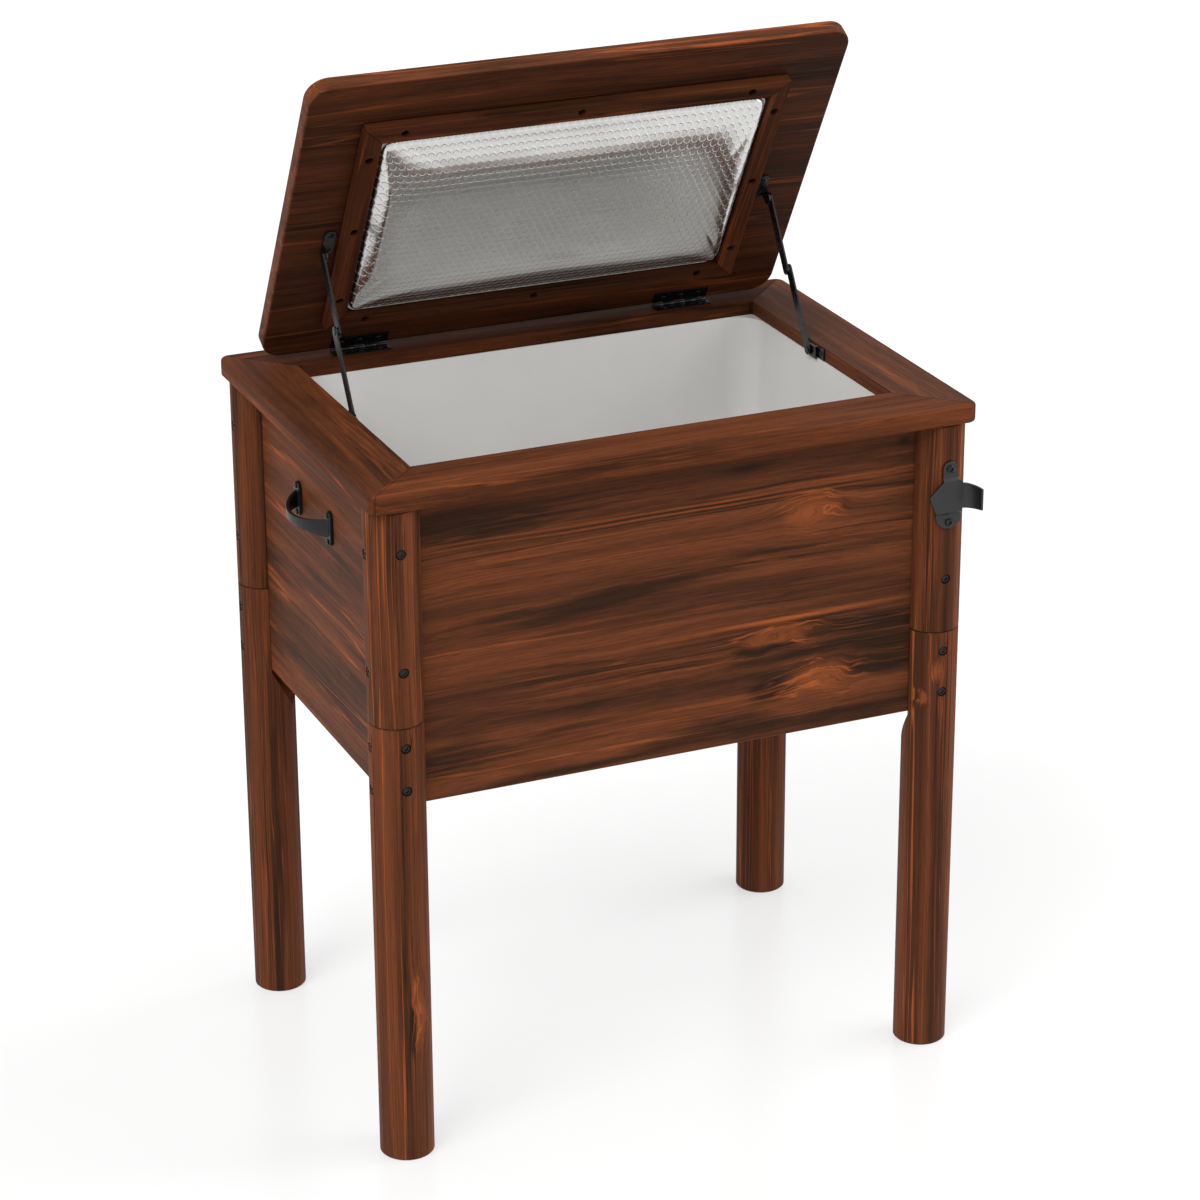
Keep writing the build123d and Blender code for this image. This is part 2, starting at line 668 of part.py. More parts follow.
def bar(x, start, end):
    """A flat bar with round ends, about two pivots in (y, z)."""
    profile = SlotCenterToCenter(math.dist(start, end), STAY_BAR)
    turn = math.degrees(math.atan2(end[1] - start[1], end[0] - start[0]))
    middle = ((start[0] + end[0]) / 2, (start[1] + end[1]) / 2)
    return plate_at(x, Pos(*middle) * Rot(0, 0, turn) * profile, STAY_SHEET)


def elbow_boss():
    """Half of the space between the two bars at the elbow, less a running gap."""
    return STAY_ELBOW_GAP / 2 - 2 * RUN_CLEAR


def stay_upper(side):
    """The bar on the lid, drilled for the lid's pivot, with its half of the elbow's rivet."""
    top, elbow, low = stay_points()
    x0, x1 = STAY_UPPER_X, STAY_UPPER_X + STAY_SHEET
    arm = bar(x0, top, elbow) - pivot(x0 - 1, x1 + 1, *top, STAY_PIN_R + RUN_CLEAR)
    arm += pivot(x0 - STAY_HEAD, x1 + elbow_boss(), *elbow, STAY_HEAD_R)
    return mirrored(arm, side)


def stay_lower(side):
    """The bar on the rim, made the same way."""
    top, elbow, low = stay_points()
    x0, x1 = STAY_LOWER_X, STAY_LOWER_X + STAY_SHEET
    arm = bar(x0, elbow, low) - pivot(x0 - 1, x1 + 1, *low, STAY_PIN_R + RUN_CLEAR)
    arm += pivot(x0 - elbow_boss(), x1 + STAY_HEAD, *elbow, STAY_HEAD_R)
    return mirrored(arm, side)


def stay_bracket_lid(side):
    """An angle under the lid, with a washer, a pivot and its head on the ear. Drawn on the shut lid."""
    x1 = STAY_EAR_X + STAY_SHEET
    back = STAY_LID_V - STAY_BAR / 2
    pin = (-STAY_LID_V, -STAY_LID_DROP)
    round_y = -back - STAY_BASE_LENGTH + STAY_BASE / 2
    foot = Pos(0, (round_y - back) / 2) * Rectangle(STAY_BASE, -back - round_y)
    foot += Pos(0, round_y) * Circle(STAY_BASE / 2)
    base = Pos(x1 - STAY_BASE / 2, 0, HINGE_RISE - STAY_SHEET) * extrude(foot, STAY_SHEET)
    ear = make_face(
        Polyline(
            (pin[0] - STAY_EAR_R, HINGE_RISE),
            (pin[0] - STAY_EAR_R, pin[1]),
            (pin[0] + STAY_EAR_R, pin[1]),
            (-back, HINGE_RISE),
            close=True,
        )
    )
    bracket = base + plate_at(STAY_EAR_X, ear + Pos(*pin) * Circle(STAY_EAR_R), STAY_SHEET)
    bracket += pivot(x1, x1 + STAY_WASHER - 2 * RUN_CLEAR, *pin, STAY_HEAD_R)
    head = STAY_UPPER_X + STAY_SHEET + 2 * RUN_CLEAR
    bracket += pivot(x1, head + STAY_HEAD, *pin, STAY_PIN_R)
    bracket += pivot(head, head + STAY_HEAD, *pin, STAY_HEAD_R)
    places = stay_lid_places()[len(SIDES) :]
    return LID_SWING * mirrored(bored(bracket, STAY_SCREW, places), side)


def stay_bracket_box(side):
    """A joggled plate on the inner face of the rim, with the lower pivot on its raised end."""
    t = STAY_SHEET
    y0 = STAY_BOX_Y - STAY_BRACKET_FRONT
    y1 = y0 + STAY_BASE
    z0, z1 = STAY_BOX_Z - STAY_EAR_R, STAY_BOX_Z + STAY_EAR_R
    low = RIM_TOP - RIM_LIP / 2 - STAY_BRACKET_HEIGHT / 2
    base = slab(OPEN_X - t, OPEN_X, y0, y1, low, low + STAY_BRACKET_HEIGHT)
    step = slab(STAY_PLATE_X, OPEN_X, y1, y1 + t, low, low + STAY_BRACKET_HEIGHT)
    raised = Pos((y1 + STAY_BOX_Y) / 2, STAY_BOX_Z) * Rectangle(STAY_BOX_Y - y1, z1 - z0)
    raised += Pos(STAY_BOX_Y, STAY_BOX_Z) * Circle(STAY_EAR_R)
    bracket = base + step + plate_at(STAY_PLATE_X, raised, t)
    pin = (STAY_BOX_Y, STAY_BOX_Z)
    bracket += pivot(STAY_PLATE_X - STAY_WASHER + 2 * RUN_CLEAR, STAY_PLATE_X, *pin, STAY_HEAD_R)
    head = STAY_LOWER_X - 2 * RUN_CLEAR
    bracket += pivot(head - STAY_HEAD, STAY_PLATE_X, *pin, STAY_PIN_R)
    bracket += pivot(head - STAY_HEAD, head, *pin, STAY_HEAD_R)
    return mirrored(bored(bracket, STAY_SCREW, stay_box_places()[1:]), side)


def lid_board():
    board = rounded_block(LID_LENGTH, LID_DEPTH, LID_T, LID_CORNER_R, LID_EDGE_R)
    board = Pos(0, -LID_DEPTH / 2, HINGE_RISE) * board
    board = bored(board, HINGE_SCREW, lid_hinge_places())
    board = bored(board, STAY_SCREW, stay_lid_places())
    return bored(board, FRAME_SCREW, frame_screw_places())


def lid_frame():
    """The strips under the lid that hold the foil pad."""
    strips = mitred_frame(FRAME_LENGTH, FRAME_DEPTH, FRAME_BOARD, FRAME_T, 2 * FRAME_EDGE_R, FRAME_EDGE_R)
    strips = {side: Pos(0, FRAME_MID, FRAME_FACE) * strip for side, strip in strips.items()}
    seat = 2 * FRAME_SCREW_SINK
    return {side: bored(strip, FRAME_SCREW, frame_screw_places(), seat) for side, strip in strips.items()}


def pad_outline(inset):
    length = FRAME_LENGTH - 2 * (FRAME_BOARD + PAD_GAP + inset)
    depth = FRAME_DEPTH - 2 * (FRAME_BOARD + PAD_GAP + inset)
    return RectangleRounded(length, depth, PAD_CORNER_R)


def lid_foam():
    return Pos(0, FRAME_MID, HINGE_RISE) * extrude(pad_outline(0), -LID_FOAM_T)


def foil_pad():
    """The padded foil, drawn in at its sides and crowned in the middle."""
    base = HINGE_RISE - LID_FOAM_T
    sections = [
        Pos(0, FRAME_MID, base - rise * PAD_CROWN) * pad_outline(inset) for inset, rise in PAD_SECTIONS
    ]
    return loft(sections, ruled=True)


def build():
    """Every piece at rest, by name."""
    parts = {"front_panel": long_panel(-1), "back_panel": long_panel(1)}
    parts["floor_panel"] = slab(-ROOM_X, ROOM_X, -ROOM_Y, ROOM_Y, FLOOR_Z, FOAM_Z) - drain_shaft(
        SPOUT_R + SCREW_CLEAR
    )
    post_places, leg_places = [], []
    for name, (sx, sy) in CORNERS.items():
        parts[f"corner_post_{name}"] = corner_post(sx, sy)
        parts[f"leg_{name}"] = leg(sx, sy)
        post_places += upper_places(sx, sy)
        leg_places += lower_places(sx, sy)
    for name, board in rim_boards().items():
        parts[f"rim_{name}"] = board
    for name, board in insulation().items():
        parts[f"insulation_{name}"] = board
    parts["liner"] = liner()
    parts["drain_spout"] = drain_spout()
    parts["drain_nut"] = drain_nut()
    parts["drain_plug"] = drain_plug()
    parts["bottle_opener"] = bottle_opener()

    odd, even = range(1, HINGE_KNUCKLES, 2), range(0, HINGE_KNUCKLES, 2)
    pins, handle_places = [], []
    for name, side in SIDES.items():
        at_hinge = Pos(side * HINGE_X, HINGE_Y, HINGE_Z)
        parts[f"{name}_panel"] = end_panel(side)
        parts[f"handle_{name}"] = handle(side)
        parts[f"hinge_leaf_box_{name}"] = at_hinge * hinge_leaf(HINGE_BOX_LEAF, even, -1)
        parts[f"hinge_leaf_lid_{name}"] = LID_SWING * Pos(side * HINGE_X, 0, 0) * hinge_leaf(
            HINGE_LID_LEAF, odd, 1
        )
        parts[f"stay_bracket_box_{name}"] = stay_bracket_box(side)
        parts[f"stay_bracket_lid_{name}"] = stay_bracket_lid(side)
        parts[f"stay_upper_{name}"] = stay_upper(side)
        parts[f"stay_lower_{name}"] = stay_lower(side)
        pins.append(at_hinge * hinge_pin())
        handle_places += handle_screw_places(side)
    parts["hinge_pins"] = Compound(children=pins)

    parts["lid_board"] = LID_SWING * lid_board()
    for name, strip in lid_frame().items():
        parts[f"lid_frame_{name}"] = LID_SWING * strip
    parts["lid_foam"] = LID_SWING * lid_foam()
    parts["lid_foil_pad"] = LID_SWING * foil_pad()

    parts["post_screws"] = screws(POST_SCREW, post_places)
    parts["leg_screws"] = screws(POST_SCREW, leg_places)
    parts["handle_screws"] = screws(HANDLE_SCREW, handle_places)
    parts["opener_screws"] = screws(OPENER_SCREW, opener_screw_places())
    parts["hinge_screws_box"] = screws(HINGE_SCREW, box_hinge_places())
    parts["stay_screws_box"] = screws(STAY_SCREW, stay_box_places())
    parts["hinge_screws_lid"] = LID_SWING * screws(HINGE_SCREW, lid_hinge_places())
    parts["stay_screws_lid"] = LID_SWING * screws(STAY_SCREW, stay_lid_places())
    parts["lid_frame_screws"] = LID_SWING * screws(FRAME_SCREW, frame_screw_places())
    return parts


os.makedirs("parts", exist_ok=True)
for part_name, shape in build().items():
    export_step(shape, f"parts/{part_name}.step")
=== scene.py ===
"""The looks of the patio cooler: materials, the padded foil in the lid, screw heads, studio and camera.

Everything is in metres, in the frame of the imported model: X to the right, Y to the back and
Z up from the floor.
"""

import json
import math
from collections import namedtuple

import bmesh
import bpy
import numpy as np
from mathutils import Matrix, Vector

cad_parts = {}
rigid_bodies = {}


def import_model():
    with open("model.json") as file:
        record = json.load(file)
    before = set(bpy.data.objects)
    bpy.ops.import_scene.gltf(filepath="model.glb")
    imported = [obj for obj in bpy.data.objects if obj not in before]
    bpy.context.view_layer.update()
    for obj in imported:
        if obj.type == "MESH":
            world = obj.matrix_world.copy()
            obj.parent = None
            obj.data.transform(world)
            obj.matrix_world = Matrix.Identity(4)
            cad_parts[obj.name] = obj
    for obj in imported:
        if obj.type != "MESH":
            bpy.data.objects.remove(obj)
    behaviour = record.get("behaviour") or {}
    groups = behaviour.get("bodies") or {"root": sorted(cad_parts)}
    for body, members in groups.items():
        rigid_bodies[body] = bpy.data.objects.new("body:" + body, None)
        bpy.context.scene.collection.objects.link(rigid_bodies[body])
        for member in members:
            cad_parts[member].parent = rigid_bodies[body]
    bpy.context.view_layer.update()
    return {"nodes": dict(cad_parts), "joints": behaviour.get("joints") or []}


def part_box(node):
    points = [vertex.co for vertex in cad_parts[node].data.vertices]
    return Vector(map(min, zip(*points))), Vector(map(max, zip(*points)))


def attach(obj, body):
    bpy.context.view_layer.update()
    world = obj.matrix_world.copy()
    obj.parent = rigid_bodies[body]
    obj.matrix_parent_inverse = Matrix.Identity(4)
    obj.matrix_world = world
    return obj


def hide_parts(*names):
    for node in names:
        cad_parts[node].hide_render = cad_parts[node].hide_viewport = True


for leftover in list(bpy.data.objects):
    bpy.data.objects.remove(leftover)

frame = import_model()
nodes = frame["nodes"]

# Camera, fitted to the rim, posts and lid in the photograph
CAMERA_PLACE = Vector((-1.5740, -3.6538, 2.1649))
CAMERA_AZIMUTH = -23.42
CAMERA_ELEVATION = 22.50
CAMERA_ROLL = -0.28
CAMERA_LENS = 114.82

# Axes of the box and of the lid, which rests open
X = Vector((1, 0, 0))
Y = Vector((0, 1, 0))
Z = Vector((0, 0, 1))
LID_OPEN = math.radians(60)
LID_SLOPE = Vector((0, -math.cos(LID_OPEN), math.sin(LID_OPEN)))
LID_OUT = Vector((0, math.sin(LID_OPEN), math.cos(LID_OPEN)))
LID_HINGE = Vector(next(j["pos_m"] for j in frame["joints"] if j["name"] == "lid_hinge"))
LID_FRAME = Matrix.Translation(LID_HINGE) @ Matrix((X, LID_SLOPE, LID_OUT)).transposed().to_4x4()


def colour(red, green, blue):
    """A linear colour from 0 to 255 screen values."""
    channels = []
    for value in (red, green, blue):
        share = value / 255
        channels.append(share / 12.92 if share <= 0.04045 else ((share + 0.055) / 1.055) ** 2.4)
    return (*channels, 1.0)


WOOD_BROWN = colour(66, 37, 23)
WOOD_WARM = colour(104, 56, 32)
WOOD_BLACK = colour(33, 23, 16)
WOOD_ORANGE = colour(158, 82, 40)
WOOD_FLAME = colour(126, 66, 35)


class Signal:
    """A value in a material's node tree. Arithmetic on it adds the nodes."""

    def __init__(self, shade, socket):
        self.shade = shade
        self.socket = socket

    def __add__(self, other):
        return self.shade.math("ADD", self, other)

    def __sub__(self, other):
        return self.shade.math("SUBTRACT", self, other)

    def __rsub__(self, other):
        return self.shade.math("SUBTRACT", other, self)

    def __mul__(self, other):
        return self.shade.math("MULTIPLY", self, other)

    def __truediv__(self, other):
        return self.shade.math("DIVIDE", self, other)

    __radd__ = __add__
    __rmul__ = __mul__


class Shade:
    """A material whose colour, roughness and relief are written as formulas."""

    def __init__(self, name):
        self.material = bpy.data.materials.new(name)
        self.material.use_nodes = True
        self.tree = self.material.node_tree
        self.shader = self.tree.nodes["Principled BSDF"]

    def feed(self, socket, value):
        """Links a signal to a socket, or sets a constant on it."""
        if isinstance(value, Signal):
            self.tree.links.new(value.socket, socket)
        else:
            socket.default_value = value

    def node(self, kind, inputs, output=0, **settings):
        """Adds a node and gives back one of its outputs."""
        node = self.tree.nodes.new(kind)
        for key, value in settings.items():
            setattr(node, key, value)
        for key, value in inputs.items():
            self.feed(node.inputs[key], value)
        return Signal(self, node.outputs[output])

    def math(self, operation, *values):
        return self.node("ShaderNodeMath", dict(enumerate(values)), operation=operation)

    def point(self):
        """The place on the piece, in the piece's own frame."""
        return self.node("ShaderNodeTexCoord", {}, output="Object")

    def dot(self, vector, axis):
        """How far a vector reaches along an axis."""
        inputs = {0: vector, 1: tuple(axis)}
        return self.node("ShaderNodeVectorMath", inputs, output="Value", operation="DOT_PRODUCT")

    def vector(self, x, y, z):
        return self.node("ShaderNodeCombineXYZ", {0: x, 1: y, 2: z})

    def noise(self, vector, seed=0.0, scale=1.0, detail=2.0, roughness=0.5):
        """Soft noise from 0 to 1; another seed gives another pattern."""
        inputs = {"Vector": vector, "W": seed, "Scale": scale, "Detail": detail, "Roughness": roughness}
        return self.node("ShaderNodeTexNoise", inputs, noise_dimensions="4D")

    def cells(self, vector, scale):
        """Distance to the middle of the nearest of many round cells."""
        return self.node("ShaderNodeTexVoronoi", {"Vector": vector, "Scale": scale}, output="Distance")

    def ramp(self, value, low, high):
        """0 below low, 1 above high, smooth between."""
        inputs = {"Value": value, "From Min": low, "From Max": high}
        return self.node("ShaderNodeMapRange", inputs, interpolation_type="SMOOTHSTEP")

    def ridge(self, value, level, width):
        """1 where the value is at the level, 0 a width away from it: a thin flowing line."""
        return self.ramp(self.math("ABSOLUTE", value - level), width, 0.0)

    def bell(self, a, b):
        """1 at the centre, falling off smoothly over a unit distance."""
        return self.math("EXPONENT", 0.0 - (a * a + b * b))

    def open_sky(self, reach):
        """1 in the open, less in corners and gaps that are closed in within the reach."""
        return self.node("ShaderNodeAmbientOcclusion", {"Distance": reach}, output="AO", samples=4)

    def mix(self, share, first, second):
        """The first colour where the share is 0, the second where it is 1."""
        inputs = {0: share, 6: first, 7: second}
        return self.node("ShaderNodeMix", inputs, output=2, data_type="RGBA")

    def brighten(self, tint, factor):
        return self.node("ShaderNodeVectorMath", {0: tint, "Scale": factor}, operation="SCALE")

    def finish(self, tint, rough, height, depth, **constants):
        """Links colour, roughness and a relief of the given depth in metres to the shader."""
        self.feed(self.shader.inputs["Base Color"], tint)
        self.feed(self.shader.inputs["Roughness"], rough)
        relief = {"Height": height, "Distance": depth, "Strength": 1.0}
        self.feed(self.shader.inputs["Normal"], self.node("ShaderNodeBump", relief))
        for key, value in constants.items():
            self.shader.inputs[key.replace("_", " ")].default_value = value
        return self.material


Mark = namedtuple("Mark", "along across length width dark")
Line = namedtuple("Line", "along across length width slope tint")
Under = namedtuple("Under", "axis level tone")
Mitre = namedtuple("Mitre", "first first_middle second second_middle lead")

# How a piece is cut: the axes along and across its grain, and these looks unless it has its own
CUT_DEFAULTS = {
    "tone": 1.0,
    "bands": 0.9,
    "knots": (),
    "stains": (),
    "lines": (),
    "under": None,
    "mitre": None,
    "gloss": 0.05,
    "stretch": 1.0,
    "fine": 1.0,
    "figure": 1.0,
}
Cut = namedtuple("Cut", ["grain", "cross", *CUT_DEFAULTS], defaults=CUT_DEFAULTS.values())

# Layers of noise in the wood: the length and width of their features in metres, and their seed
Layer = namedtuple("Layer", "length width seed detail roughness", defaults=(2.0, 0.55))
CLOUD = Layer(0.380, 0.038, 0.31, 4.0, 0.6)
TONE_BAND = Layer(0.600, 0.028, 0.41, 3.0, 0.5)
STREAK = Layer(0.900, 0.013, 0.47, 5.0, 0.62)
THREAD = Layer(0.500, 0.0034, 0.53, 3.0, 0.6)
BUNDLE = Layer(0.500, 0.060, 0.59)
BRIGHT_LINE = Layer(1.300, 0.034, 0.73, 3.0)
DARK_LINE = Layer(1.000, 0.012, 0.83)
DARK_HAIR = Layer(0.300, 0.0080, 0.61)
BRIGHT_HAIR = Layer(0.260, 0.0090, 0.63)
FIBRE = Layer(0.045, 0.0015, 0.89, 2.0, 0.6)
PORE = Layer(0.016, 0.0006, 0.97, 0.0)
CURL = Layer(0.120, 0.010, 0.67)
NOISE_MIDDLE = 0.5

# Noise that bends the grain: its features per metre along and across the grain, and its reach in metres
SWAY_SCALES = (1.1, 3.0)
RIPPLE_SCALES = (5.0, 9.0)
SWIRL_SCALES = (24.0, 36.0)
GRAIN_SWAY = 0.045
GRAIN_RIPPLE = 0.007

# How a knot bends the grain: a swirl in metres, a share of the distance to it and a share of its width
KNOT_SWIRL = 0.030
KNOT_PINCH = 0.45
KNOT_LIFT = 0.35

# Where a knot's dark side lies, as shares of the knot's size, and how ragged it is
SHADOW_DROP = 0.8
SHADOW_HEIGHT = 0.6
SHADOW_SHIFT = 0.4
SHADOW_SWIRL = 2.0

# How strongly each layer tints the wood
DARK_LINE_SHARE = 0.75
BRIGHT_LINE_SHARE = 0.40
DARK_HAIR_SHARE = 0.25
BRIGHT_HAIR_SHARE = 0.20
FLAME_SHARE = 0.70
SHADOW_SHARE = 0.85
CURL_SHARE = 0.60
JOINT_SHARE = 0.75
# Reach in metres of the painted shade in corners and gaps
CREVICE_SHADE_REACH = 0.003
WOOD_RELIEF = 0.00012
UNDER_EDGE = 0.0010
JOINT_WIDTH = 0.0011


def wood(name, cut, seed):
    """Dark stained wood with its grain along one axis.

    Knots, stains and lines are placed along and across the grain; painted shade darkens corners, gaps
    and the lid's underside.
    """
    m = Shade(name)
    place = m.point()
    along = m.dot(place, cut.grain)
    across = m.dot(place, cut.cross)
    inward = m.dot(place, Vector(cut.grain).cross(cut.cross))

    def bend(scales, detail):
        """Noise that bends the grain, about 0."""
        lengthwise, crosswise = scales
        where = m.vector(along * lengthwise, across * crosswise, inward * crosswise)
        return m.noise(where, seed, detail=detail) - NOISE_MIDDLE

    ripple = bend(RIPPLE_SCALES, detail=1.0) * GRAIN_RIPPLE
    flow = across + bend(SWAY_SCALES, detail=0.0) * GRAIN_SWAY + ripple
    flame = 0.0
    shadow = 0.0
    if cut.knots:
        swirl = bend(SWIRL_SCALES, detail=3.0)
    for knot in cut.knots:
        beside = along - knot.along
        over = across - knot.across
        near = m.bell(beside / knot.length + swirl, over / knot.width + swirl)
        flow = flow + near * (swirl * KNOT_SWIRL - over * KNOT_PINCH - KNOT_LIFT * knot.width)
        flame = near + flame
        low_side = (over + SHADOW_DROP * knot.width) / (SHADOW_HEIGHT * knot.width)
        low_end = (beside + SHADOW_SHIFT * knot.length) / knot.length
        ragged = swirl * SHADOW_SWIRL
        below = m.bell(low_end + ragged, low_side + ragged)
        shadow = below * knot.dark + shadow

    def layer(kind):
        """Noise stretched along the grain."""
        length = kind.length * cut.stretch
        width = kind.width * cut.fine
        where = m.vector(along / length, flow / width, inward / width)
        return m.noise(where, seed + kind.seed, detail=kind.detail, roughness=kind.roughness)

    def thin_lines(kind, span):
        """Lines where a layer is within the span of its middle."""
        return m.ridge(layer(kind), NOISE_MIDDLE, span)

    cloud = layer(CLOUD)
    tone_band = layer(TONE_BAND)
    streak = layer(STREAK)
    thread = layer(THREAD)
    bundle = layer(BUNDLE)
    bright_lines = thin_lines(BRIGHT_LINE, span=0.013)
    dark_lines = thin_lines(DARK_LINE, span=0.045)
    dark_hairs = thin_lines(DARK_HAIR, span=0.035)
    bright_hairs = thin_lines(BRIGHT_HAIR, span=0.030)
    fibre = layer(FIBRE)
    pores = m.ramp(layer(PORE), 0.60, 0.72)

    stain = cloud * 0.70 + streak * 0.30
    for patch in cut.stains:
        reach = m.bell((along - patch.along) / patch.length, (flow - patch.across) / patch.width)
        stain = stain + reach * patch.dark
    warmth = tone_band * 0.6 + streak * 0.28 + thread * 0.12
    tint = m.mix(m.ramp(warmth, 0.38, 0.62), WOOD_BROWN, WOOD_WARM)
    tint = m.mix(m.ramp(stain, 0.50, 0.64) * cut.bands, tint, WOOD_BLACK)
    dark_line_share = m.ramp(bundle, 0.54, 0.64) * DARK_LINE_SHARE
    bright_line_share = m.ramp(bundle, 0.58, 0.44) * (BRIGHT_LINE_SHARE * cut.figure)
    dark_hair_share = m.ramp(streak, 0.58, 0.42) * (DARK_HAIR_SHARE * cut.figure)
    bright_hair_share = m.ramp(bundle, 0.50, 0.64) * (BRIGHT_HAIR_SHARE * cut.figure)
    tint = m.mix(dark_lines * dark_line_share, tint, WOOD_BLACK)
    tint = m.mix(bright_lines * bright_line_share, tint, WOOD_ORANGE)
    tint = m.mix(dark_hairs * dark_hair_share, tint, WOOD_BLACK)
    tint = m.mix(bright_hairs * bright_hair_share, tint, WOOD_ORANGE)
    for line in cut.lines:
        beside = along - line.along
        off = across + ripple - line.across - beside * line.slope
        tint = m.mix(m.bell(beside / line.length, off / line.width) * (streak + 0.3), tint, line.tint)
    if cut.knots:
        tint = m.mix(m.ramp(flame * (streak + 0.3), 0.25, 0.75) * FLAME_SHARE, tint, WOOD_FLAME)
        tint = m.mix(m.ramp(shadow, 0.3, 0.85) * SHADOW_SHARE, tint, WOOD_BLACK)
        curl = thin_lines(CURL, span=0.030)
        tint = m.mix(curl * m.ramp(flame, 0.1, 0.5) * CURL_SHARE, tint, WOOD_ORANGE)
    grit = (thread - NOISE_MIDDLE) * 0.4 + (fibre - NOISE_MIDDLE) * 0.8 - pores * 0.22
    # The colour is scaled by the grain's texture, by painted shade in nearby corners and gaps, and by
    # the piece's tone
    light = (grit + 1.0) * (m.ramp(m.open_sky(CREVICE_SHADE_REACH), 0.25, 0.95) * 0.6 + 0.4) * cut.tone
    if cut.under:
        height = m.dot(place, cut.under.axis) - cut.under.level
        light = light * (m.ramp(height, 0.0, UNDER_EDGE) * (1 - cut.under.tone) + cut.under.tone)
    if cut.mitre:
        first = m.math("ABSOLUTE", m.dot(place, cut.mitre.first) - cut.mitre.first_middle)
        second = m.math("ABSOLUTE", m.dot(place, cut.mitre.second) - cut.mitre.second_middle)
        light = light * (1.0 - m.ridge(first - second, cut.mitre.lead, JOINT_WIDTH) * JOINT_SHARE)
    tint = m.brighten(tint, light)
    rough = 0.42 + fibre * 0.22
    relief = fibre * 0.6 - pores + thread * 0.8
    return m.finish(tint, rough, relief, WOOD_RELIEF, Specular_IOR_Level=cut.gloss)


# Scales of the noise in the other materials, in features per metre
PEEL_SCALE = 500.0
PATCH_SCALE = 45.0
FLOW_SCALE = 14.0
MOULD_GRAIN_SCALE = 1400.0
SCUFF_SCALE = 60.0
BEAD_SCALE = 260.0
FOAM_PATCH_SCALE = 30.0
CREASE_SCALE = 420.0
FILM_SCALE = 26.0
FLOOR_SCALE = 3.0

# Depths of their reliefs in metres
MOULD_RELIEF = 0.00004
BEAD_RELIEF = 0.0006
FOIL_RELIEF = 0.00022
FLOOR_RELIEF = 0.00002

# Light that the floor gives off itself, which keeps it pale
FLOOR_GLOW = 0.56


def painted_metal(name, tint, rough, grit, gloss):
    """Powder-coated metal: an orange-peel relief of the given depth and slightly uneven gloss."""
    m = Shade(name)
    place = m.point()
    peel = m.noise(place, scale=PEEL_SCALE, detail=3.0)
    patch = m.noise(place, scale=PATCH_SCALE, detail=3.0)
    shade = m.brighten(m.mix(patch, tint, colour(10, 10, 11)), peel * 0.4 + 0.8)
    uneven = patch * 0.16 + peel * 0.1 + rough - 0.13
    return m.finish(shade, uneven, peel, grit, Specular_IOR_Level=gloss)


def moulded_plastic(name, tint, rough, gloss):
    """Moulded plastic: faint flow marks, a fine grain and small scuffs."""
    m = Shade(name)
    place = m.point()
    flow = m.noise(place, scale=FLOW_SCALE, detail=3.0)
    grain = m.noise(place, scale=MOULD_GRAIN_SCALE, detail=1.0)
    scuff = m.ramp(m.noise(place, seed=2.0, scale=SCUFF_SCALE, detail=5.0, roughness=0.7), 0.58, 0.72)
    shade = m.brighten(m.mix(scuff * 0.2, tint, colour(205, 203, 200)), flow * 0.12 + 0.94)
    uneven = scuff * 0.15 + flow * 0.1 + rough
    return m.finish(shade, uneven, grain, MOULD_RELIEF, Specular_IOR_Level=gloss)


def bead_foam(name):
    """Expanded foam: fused beads with darker joints."""
    m = Shade(name)
    place = m.point()
    bead = m.cells(place, BEAD_SCALE)
    patch = m.noise(place, scale=FOAM_PATCH_SCALE)
    shade = m.mix(m.ramp(bead, 0.25, 0.7), colour(232, 230, 224), colour(186, 183, 176))
    shade = m.brighten(shade, patch * 0.2 + 0.9)
    return m.finish(shade, 0.8 + patch * 0.1, 1.0 - bead, BEAD_RELIEF, Specular_IOR_Level=0.2)


BUBBLE_PITCH = 0.0094
BUBBLE_R = 0.0041
BUBBLE_RIM = 0.0007


def silver_foil(name):
    """Bright foil over staggered bubbles, with fine creases; the bubbles' rims are crisp low steps with
    a painted highlight.
    """
    m = Shade(name)
    place = m.point()
    row = BUBBLE_PITCH * math.sqrt(3)

    def from_bubble(shift):
        """Distance to the nearest bubble of every second row."""
        beside = m.math("FRACT", m.dot(place, X) / BUBBLE_PITCH + shift) - 0.5
        above = m.math("FRACT", m.dot(place, Y) / row + shift) - 0.5
        square = beside * beside * BUBBLE_PITCH**2 + above * above * row**2
        return m.math("SQRT", square)

    away = m.math("MINIMUM", from_bubble(0.5), from_bubble(0.0))
    sunken = m.ramp(away, BUBBLE_R - BUBBLE_RIM, BUBBLE_R)
    crease = m.noise(place, scale=CREASE_SCALE, detail=4.0, roughness=0.6)
    cloud = m.noise(place, scale=FILM_SCALE, detail=3.0)
    film = m.mix(cloud, colour(210, 210, 209), colour(196, 195, 192))
    # A lighter ring on each bubble's rim: a painted highlight where the rims catch the light
    film = m.mix(m.ridge(away, BUBBLE_R, BUBBLE_RIM) * 0.25, film, colour(236, 236, 235))
    shade = m.brighten(film, crease * 0.16 + 0.92)
    rough = cloud * 0.06 + crease * 0.06 + 0.16
    return m.finish(shade, rough, sunken + crease * 0.07, FOIL_RELIEF, Metallic=1.0)


def pale_floor(name):
    """A clean studio floor with the faintest mottling."""
    m = Shade(name)
    mottle = m.noise(m.point(), scale=FLOOR_SCALE, detail=4.0)
    shade = m.mix(mottle, colour(160, 160, 159), colour(156, 156, 156))
    glow = {"Emission_Color": (1.0, 1.0, 1.0, 1.0), "Emission_Strength": FLOOR_GLOW}
    return m.finish(shade, mottle * 0.06 + 0.22, mottle, FLOOR_RELIEF, Specular_IOR_Level=0.25, **glow)


def dress(node, material):
    """Puts a material on a CAD node."""
    for place in nodes[node].material_slots:
        place.material = material


SHARP_ANGLE = math.radians(40)
WELD_REACH = 1e-6
EDGE_SEGMENTS = 2


